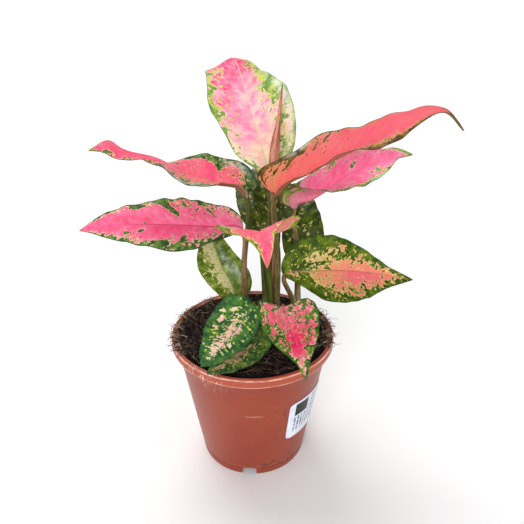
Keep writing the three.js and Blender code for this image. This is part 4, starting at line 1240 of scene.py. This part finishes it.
def variegation_group():
    """Where a blade is green and where its heart shows, with flecks, islets, veins and midrib."""
    tree, make, given, result = new_group(
        "leaf variegation", ["Place", "Kind", "Tint"], ["Seed", "Patch", "Net", "Dip", "Bit"],
        ["Field", "Depth", "Fleck", "Shade", "Vein", "Midrib", "Height"],
    )
    s, d, v = make.split(given["Place"])
    t, _, bias = make.split(given["Kind"])
    depth, islets, flecks = make.split(given["Tint"])
    away = make.absolute(d)
    outward = make.absolute(v)
    bent = make.times(make.times(d, d), VEIN_BEND)
    vein = make.minus(make.minus(s, make.times(away, VEIN_SLOPE)), bent)
    swept = make.minus(s, make.times(away, PATCH_SLOPE))

    def blotches(size, shift, **settings):
        x = make.over(swept, size[0])
        y = make.over(d, size[1])
        return make.noise(make.vector(x, y, make.plus(given["Seed"], shift)), **settings)

    def about(value, amount):
        return make.times(make.minus(value, 0.5), amount)

    broad = about(blotches(BROAD_PATCH, 0.0, detail=1.0, distortion=0.3), 1.1)
    middle = about(blotches(PATCH, 7.0, detail=1.5, distortion=0.4), 1.9)
    fine = about(blotches(RAGGED_EDGE, 13.0, detail=1.5, roughness=0.55), 0.9)
    ragged = make.times(make.plus(make.plus(broad, middle), fine), given["Patch"])

    holes = blotches(ISLET, 21.0, detail=1.5, distortion=0.5)
    dip = make.math("MAXIMUM", make.minus(holes, make.scaled(islets, -0.12, 0.72)), 0.0)
    dip = make.times(dip, make.scaled(make.ease(bias, 1.1, 0.1), 8.0, 5.0))
    dip = make.times(make.times(dip, make.above(bias, -0.15)), given["Dip"])
    sway = about(blotches(GAP_SWAY, 71.0, detail=2.0), 1.6)
    x = make.plus(make.over(swept, GAP_CELL[0]), sway)
    y = make.plus(make.over(d, GAP_CELL[1]), sway)
    cells = make.add("ShaderNodeTexVoronoi", {"Vector": make.vector(x, y, given["Seed"]), "Scale": 1.0},
                     feature="DISTANCE_TO_EDGE").outputs["Distance"]
    dip = make.plus(dip, make.times(make.ease(cells, 0.14, 0.02), given["Net"]))
    edge = make.times(make.ease(outward, 0.94, 1.0), 0.35)
    field = make.minus(make.minus(make.plus(bias, ragged), dip), edge)

    size = [make.times(given["Bit"], part) for part in FLECK]
    bits = blotches(size, 33.0, detail=0.8, distortion=0.3)
    cluster = about(blotches(FLECK_CLUSTER, 41.0, detail=1.0), 0.35)
    fleck = make.plus(make.minus(bits, make.scaled(flecks, -0.12, 0.75)), cluster)
    fleck = make.times(make.ease(fleck, 0.0, 0.06), make.ease(outward, 0.92, 0.75))
    fleck = make.times(fleck, make.above(flecks, 0.05))

    cloud = blotches(CLOUD, 51.0, detail=3.0, roughness=0.65)
    streak = make.noise(make.vector(vein, make.over(d, 6.0), given["Seed"]), roughness=0.6)
    deep = make.plus(depth, make.plus(about(cloud, 1.5), about(streak, 0.35)))
    share = make.math("FRACT", make.over(vein, VEIN_SPACING))
    line = make.ease(make.absolute(make.minus(share, 0.5)), 0.44, 0.5)
    line = make.times(line, make.ease(away, 0.8, 2.5))
    midrib = make.ease(make.over(away, make.scaled(t, -0.75, 0.95)), 1.0, 0.5)
    fibres = blotches(FIBRE, 63.0, roughness=0.6)
    height = make.plus(make.times(fibres, 0.35), make.times(line, -0.5))
    make.fill(result, Field=field, Depth=deep, Fleck=fleck, Shade=cloud, Vein=line, Midrib=midrib,
              Height=height)
    return tree


def leaf_material(name, looks, variegation):
    material, make, surface = new_material(name, Roughness=0.4, Specular_IOR_Level=0.12)
    place, kind, tint = [make.attribute(key) for key in ("leaf_place", "leaf_kind", "leaf_tint")]
    pattern = make.group(variegation, Place=place, Kind=kind, Tint=tint, Seed=float(looks["seed"]),
                         Patch=looks["patch"], Net=looks["net"], Dip=looks["dip"], Bit=looks["bit"])
    s, d, v = make.split(place)
    _, upper, _ = make.split(kind)
    dark, bright = [colour(code) for code in looks["green"]]
    pale, rib = colour(looks["heart"][0]), colour(looks["rib"])
    lime, painted_sheen, underside = colour("b4bd5e"), colour("d6e6d8"), colour("75683f")
    field = make.scaled(pattern["Field"], 0.5, 0.5)
    green = make.mix(make.ease(pattern["Shade"], 0.4, 0.66), dark, bright)
    green = make.mix(make.times(make.ease(field, 0.44, 0.475), 0.75), green, bright)
    green = make.mix(make.times(pattern["Fleck"], 0.92), green, colour(looks["fleck"]))
    green = make.mix(make.ease(field, 0.474, 0.49), green, lime)
    heart = make.ramp(pattern["Depth"], [(i / 2, code) for i, code in enumerate(looks["heart"])])
    heart = make.mix(make.times(make.ease(field, 0.64, 0.51), 0.45), heart, pale)
    heart = make.mix(make.times(pattern["Fleck"], 0.35), heart, pale)
    heart = make.mix(make.times(pattern["Vein"], 0.16), heart, rib)
    skin = make.mix(make.ease(field, 0.488, 0.5), green, colour(looks["edge"]))
    skin = make.mix(make.ease(field, 0.505, 0.525), skin, heart)
    # painted shade: the side veins darkened as if shaded in their creases
    skin = make.mix(make.times(pattern["Vein"], 0.12), skin, (0.25, 0.25, 0.2, 1), "MULTIPLY")
    skin = make.mix(make.times(pattern["Midrib"], 0.65), skin, rib)
    # painted sheen: pale reflections laid into the colour where the leaf_sheen spots lie
    sheen, _, _ = make.split(make.attribute("leaf_sheen"))
    skin = make.mix(make.times(sheen, make.ease(pattern["Shade"], 0.25, 0.65)), skin, painted_sheen)
    skin = make.mix(make.times(make.ease(make.absolute(v), 0.965, 0.995), 0.6), skin, dark)
    skin = make.mix(make.ease(upper, 0.3, 0.7), make.mix(looks["under"], skin, underside), skin)
    gloss = make.noise(make.vector(make.over(s, 5.0), make.over(d, 5.0), 2.0), detail=3.0)
    make.fill(surface, Base_Color=skin, Roughness=make.scaled(gloss, 0.2, 0.28),
              Normal=make.bump(pattern["Height"], 0.35, 0.0006))
    return material


def stalk_group():
    """Long streaks and small blotches, for stalks, stems and the rolled leaf."""
    tree, make, given, result = new_group("stalk streaks", ["Place"], ["Seed"],
                                          ["Streak", "Blotch", "Height"])
    s, around, _ = make.split(given["Place"])

    def streaks(along, turns, shift, distortion=0.0):
        point = make.vector(make.over(s, along), make.times(around, turns), make.plus(given["Seed"], shift))
        return make.noise(point, distortion=distortion)

    make.fill(result, Streak=streaks(24.0, 0.5, 0.0), Blotch=streaks(3.5, 1.2, 9.0, 0.4),
              Height=streaks(9.0, 4.5, 0.0))
    return tree


def stalk_material(streaks):
    material, make, surface = new_material("stalk skin", Roughness=0.42, Specular_IOR_Level=0.18)
    place = make.attribute("stalk_place")
    s, _, tone = make.split(place)
    marks = make.group(streaks, Place=place, Seed=4.0)
    share = make.ease(marks["Streak"], 0.35, 0.65)
    olive = make.mix(share, colour("30380a"), colour("525a1e"))
    beige = make.mix(share, colour("724e34"), colour("a07a58"))
    warm = make.plus(tone, make.times(make.minus(marks["Blotch"], 0.5), 0.9))
    skin = make.mix(make.ease(warm, 0.3, 0.7), olive, beige)
    skin = make.mix(make.ease(s, 30.0, 5.0), skin, colour("c9b48c"))
    skin = make.mix(make.times(make.ease(marks["Blotch"], 0.62, 0.7), 0.6), skin, colour("5a6a30"))
    make.fill(surface, Base_Color=skin, Roughness=make.scaled(marks["Blotch"], 0.2, 0.3),
              Normal=make.bump(marks["Height"], 0.15, 0.0003))
    return material


def spear_material(streaks):
    material, make, surface = new_material("rolled leaf", Roughness=0.4, Specular_IOR_Level=0.25)
    place = make.attribute("stalk_place")
    _, _, seam = make.split(place)
    marks = make.group(streaks, Place=place, Seed=17.0)
    skin = make.mix(make.ease(marks["Streak"], 0.38, 0.62), colour("9a5844"), colour("cc8c76"))
    skin = make.mix(make.ease(marks["Blotch"], 0.58, 0.66), skin, colour("5f7a3c"))
    skin = make.mix(make.ease(seam, 0.12, 0.0), skin, colour("6a3a2c"))
    skin = make.mix(make.ease(seam, 0.93, 0.99), skin, colour("7f8f4a"))
    make.fill(surface, Base_Color=skin, Roughness=make.scaled(marks["Streak"], 0.25, 0.25),
              Normal=make.bump(marks["Height"], 0.4, 0.0004))
    return material


def pot_material():
    material, make, surface = new_material("terracotta plastic", Roughness=0.4, Specular_IOR_Level=0.4)
    place = make.place()
    x, y, z = make.split(place)
    clay, deep, bright, pale = colour("943c24"), colour("8a341e"), colour("a64a30"), colour("c88a72")
    chalk, scraped, soiled = colour("e8cfc0"), colour("d8a28c"), colour("3c1a10")

    def drawn_out(across, up, detail, roughness):
        """Noise drawn out round the wall or up it."""
        stretched = make.vector(make.times(x, across), make.times(y, across), make.times(z, up))
        return make.noise(stretched, detail=detail, roughness=roughness)

    def from_height(height):
        return make.absolute(make.minus(z, height * MM))

    cloud = make.noise(place, scale=22.0, detail=3.0)
    tint = make.mix(make.ease(cloud, 0.35, 0.7), deep, clay)
    # painted light: the rim is made lighter than the wall, as lit from above
    tint = make.mix(make.ease(z, (NECK_HEIGHT - 1) * MM, (NECK_HEIGHT + 1) * MM), tint, bright)
    scuffs = drawn_out(90.0, 900.0, 3.0, 0.7)
    high = make.ease(z, (NECK_HEIGHT - 2) * MM, (NECK_HEIGHT + 1) * MM)
    scuff = make.times(make.times(make.ease(scuffs, 0.66, 0.76), 0.5), make.scaled(high, 0.9, 0.25))
    tint = make.mix(scuff, tint, pale)
    worn = make.ease(make.distance(place, WORN_RIM), 0.022, 0.005)
    worn = make.times(make.ease(drawn_out(620.0, 190.0, 4.0, 0.75), 0.53, 0.64), worn)
    tint = make.mix(make.times(worn, 0.8), tint, chalk)
    near = make.ease(make.distance(place, WORN_WALL), 0.009, 0.005)
    scrape = make.times(make.ease(from_height(WORN_WALL[2]), 0.0006, 0.0002), near)
    scrape = make.times(scrape, make.ease(scuffs, 0.35, 0.55))
    tint = make.mix(make.times(scrape, 0.6), tint, scraped)
    # thin lines round the wall: those at the rim and at 8.6 are painted highlights, the one at 7.4 painted
    # shade in the foot's groove
    for height, half, amount, code in WALL_LINES:
        share = make.times(make.ease(from_height(height), half * MM, 0.3 * half * MM), amount)
        share = make.times(share, make.ease(scuffs, 0.25, 0.6))
        tint = make.mix(share, tint, colour(code))
    specks = make.noise(place, scale=420.0, roughness=0.6)
    dirt = make.ease(make.noise(place, scale=45.0, detail=1.0), 0.5, 0.7)
    dirt = make.times(make.plus(make.ease(z, 0.03, 0.0), dirt), 0.1)
    speck = make.ease(make.minus(specks, make.minus(0.74, dirt)), 0.0, 0.03)
    tint = make.mix(make.times(speck, 0.85), tint, soiled)
    peel = make.noise(place, scale=1400.0)
    make.fill(surface, Base_Color=tint, Roughness=make.scaled(cloud, 0.2, 0.28),
              Normal=make.bump(peel, 0.12, 0.0003))
    return material


def coir_material():
    material, make, surface = new_material("damp coir", Roughness=0.95, Specular_IOR_Level=0.2)
    place = make.place()
    broad = make.noise(place, scale=60.0, detail=4.0, roughness=0.65)
    grain = make.noise(place, scale=700.0, detail=3.0, roughness=0.7)
    tint = make.ramp(make.plus(make.times(broad, 0.5), make.times(grain, 0.5)),
                     [(0.3, "050201"), (0.5, "0c0503"), (0.64, "1c0d08"), (0.78, "42241a")])
    make.fill(surface, Base_Color=tint, Normal=make.bump(grain, 0.9, 0.0015))
    return material


def fibre_material():
    material, make, surface = new_material("husk fibre", Roughness=0.8)
    tone, _, _ = make.split(make.attribute("fibre_tone"))
    tint = make.ramp(tone, [(0.0, "120805"), (0.3, "30180f"), (0.6, "68412a"), (1.0, "cdb9a0")])
    patch = make.noise(make.place(), scale=300.0)
    make.fill(surface, Base_Color=make.mix(make.ease(patch, 0.45, 0.75), tint, colour("2a1810")))
    return material


def label_material():
    """Pale film with a generic dark block and ruled dashes."""
    material, make, surface = new_material("sticker film", Roughness=0.36, Specular_IOR_Level=0.25)
    run, rise, _ = make.split(make.attribute("label_place"))

    def between(value, low, high):
        return make.times(make.above(value, low), make.math("LESS_THAN", value, high))

    def within(left, right, bottom, top):
        return make.times(between(run, left, right), between(rise, bottom, top))

    line = make.over(run, MARK_STEP)
    dash = make.noise(make.vector(make.over(rise, MARK_ROW), make.math("FLOOR", line), 5.0), detail=0.0)
    ruled = make.times(make.math("LESS_THAN", make.math("FRACT", line), 0.5), make.above(dash, 0.47))
    beside, below = [within(*area) for area in LABEL_MARKS]
    ruled = make.times(ruled, make.plus(beside, below))
    film = make.noise(make.vector(make.over(run, 9.0), make.over(rise, 9.0), 1.0))
    tint = make.mix(make.ease(film, 0.35, 0.7), colour("d3dcec"), colour("e6ecf6"))
    tint = make.mix(within(*LABEL_BLOCK), tint, colour("080c07"))
    make.fill(surface, Base_Color=make.mix(make.times(ruled, 0.9), tint, colour("1c2228")))
    return material


# Everything in its place

def make_plant():
    variegation = variegation_group()
    streaks = stalk_group()
    skin = stalk_material(streaks)
    looks = {name: {**PLAIN_LOOKS, **own} for name, own in LOOKS.items()}
    for name, leaf in LEAVES.items():
        vertices, faces, attributes = blade_mesh({**PLAIN_LEAF, **leaf}, looks[name])
        material = leaf_material(name, looks[name], variegation)
        add_piece(name.replace("leaf", "blade"), vertices, faces, material, SLOTS[name], name,
                  attributes=attributes)
    spear = dict(stalk=SPEAR_STALK, midrib=SPEAR, face=[[0, -1, 0.1]])
    for name, (at, radius) in STEMS.items():
        parts = [stem_mesh(at, radius)]
        own = [key for key, leaf in LEAVES.items() if leaf["shoot"] == name]
        parts += [stalk_mesh(LEAVES[key], looks[key]["tone"]) for key in own]
        if name == "shoot_centre":
            parts.append(stalk_mesh(spear, SPEAR_TONE))
        vertices, faces, store = gather(parts)
        add_piece(name.replace("shoot", "stalks"), vertices, faces, skin, "petiole", name,
                  attributes=[("stalk_place", store)])
    vertices, faces, store = spear_mesh()
    add_piece("blade_new", vertices, faces, spear_material(streaks), "leaf_salmon", "leaf_new",
              attributes=[("stalk_place", store)])


def make_holder():
    make_pot(pot_material())
    vertices, faces, store = label_mesh()
    add_piece("sticker", vertices, faces, label_material(), "sticker", "label",
              attributes=[("label_place", store)])
    vertices, faces = soil_mesh()
    add_piece("coir", vertices, faces, coir_material(), "coir", "soil")
    husk = fibre_material()
    vertices, faces, store = gather(fibre_mesh() + rim_fibre_mesh())
    add_piece("coir_fibres", vertices, faces, husk, "coir", attributes=[("fibre_tone", store)])
    vertices, faces, store = gather(lump_mesh())
    add_piece("coir_lumps", vertices, faces, husk, "coir", attributes=[("fibre_tone", store)], smooth=False)


def grey(tone):
    return (tone, tone, tone, 1)


def make_studio():
    scene = bpy.context.scene
    mesh = bpy.data.meshes.new("floor")
    corners = [(x * FLOOR_SIZE, y * FLOOR_SIZE, 0) for x, y in ((-1, -1), (1, -1), (1, 1), (-1, 1))]
    mesh.from_pydata(corners, [], [(0, 1, 2, 3)])
    floor = new_object("floor", mesh)
    paint, _, _ = new_material("studio floor", Roughness=0.9, Base_Color=grey(FLOOR_TONE))
    mesh.materials.append(paint)
    world = bpy.data.worlds.new("studio")
    world.use_nodes = True
    sky = Shading(world.node_tree)
    _, _, climb = sky.split(sky.add("ShaderNodeTexCoord").outputs["Generated"])
    shade = sky.mix(sky.ease(climb, 0.25, 0.6), grey(1), grey(SKY_TONE))
    sky.fill(world.node_tree.nodes["Background"].inputs, Color=shade)
    scene.world = world
    scene.view_settings.view_transform = "Standard"
    for name, (source, strength, width) in SUNS.items():
        light = bpy.data.lights.new(name, "SUN")
        light.energy = strength
        light.angle = math.radians(width)
        new_object(name, light).rotation_euler = Vector(source).to_track_quat("Z", "Y").to_euler()


def make_camera():
    """The photograph's view: level with the top leaf, looking down into the pot."""
    data = bpy.data.cameras.new("camera")
    data.sensor_width = 36
    data.lens = LENS
    camera = new_object("camera", data)
    camera.location = POT_AXIS + np.array(CAMERA_PLACE) * MM
    camera.rotation_euler = (math.radians(90 - CAMERA_TILT), 0, math.radians(CAMERA_TURN))
    bpy.context.scene.camera = camera


make_camera()
make_studio()
make_holder()
make_plant()
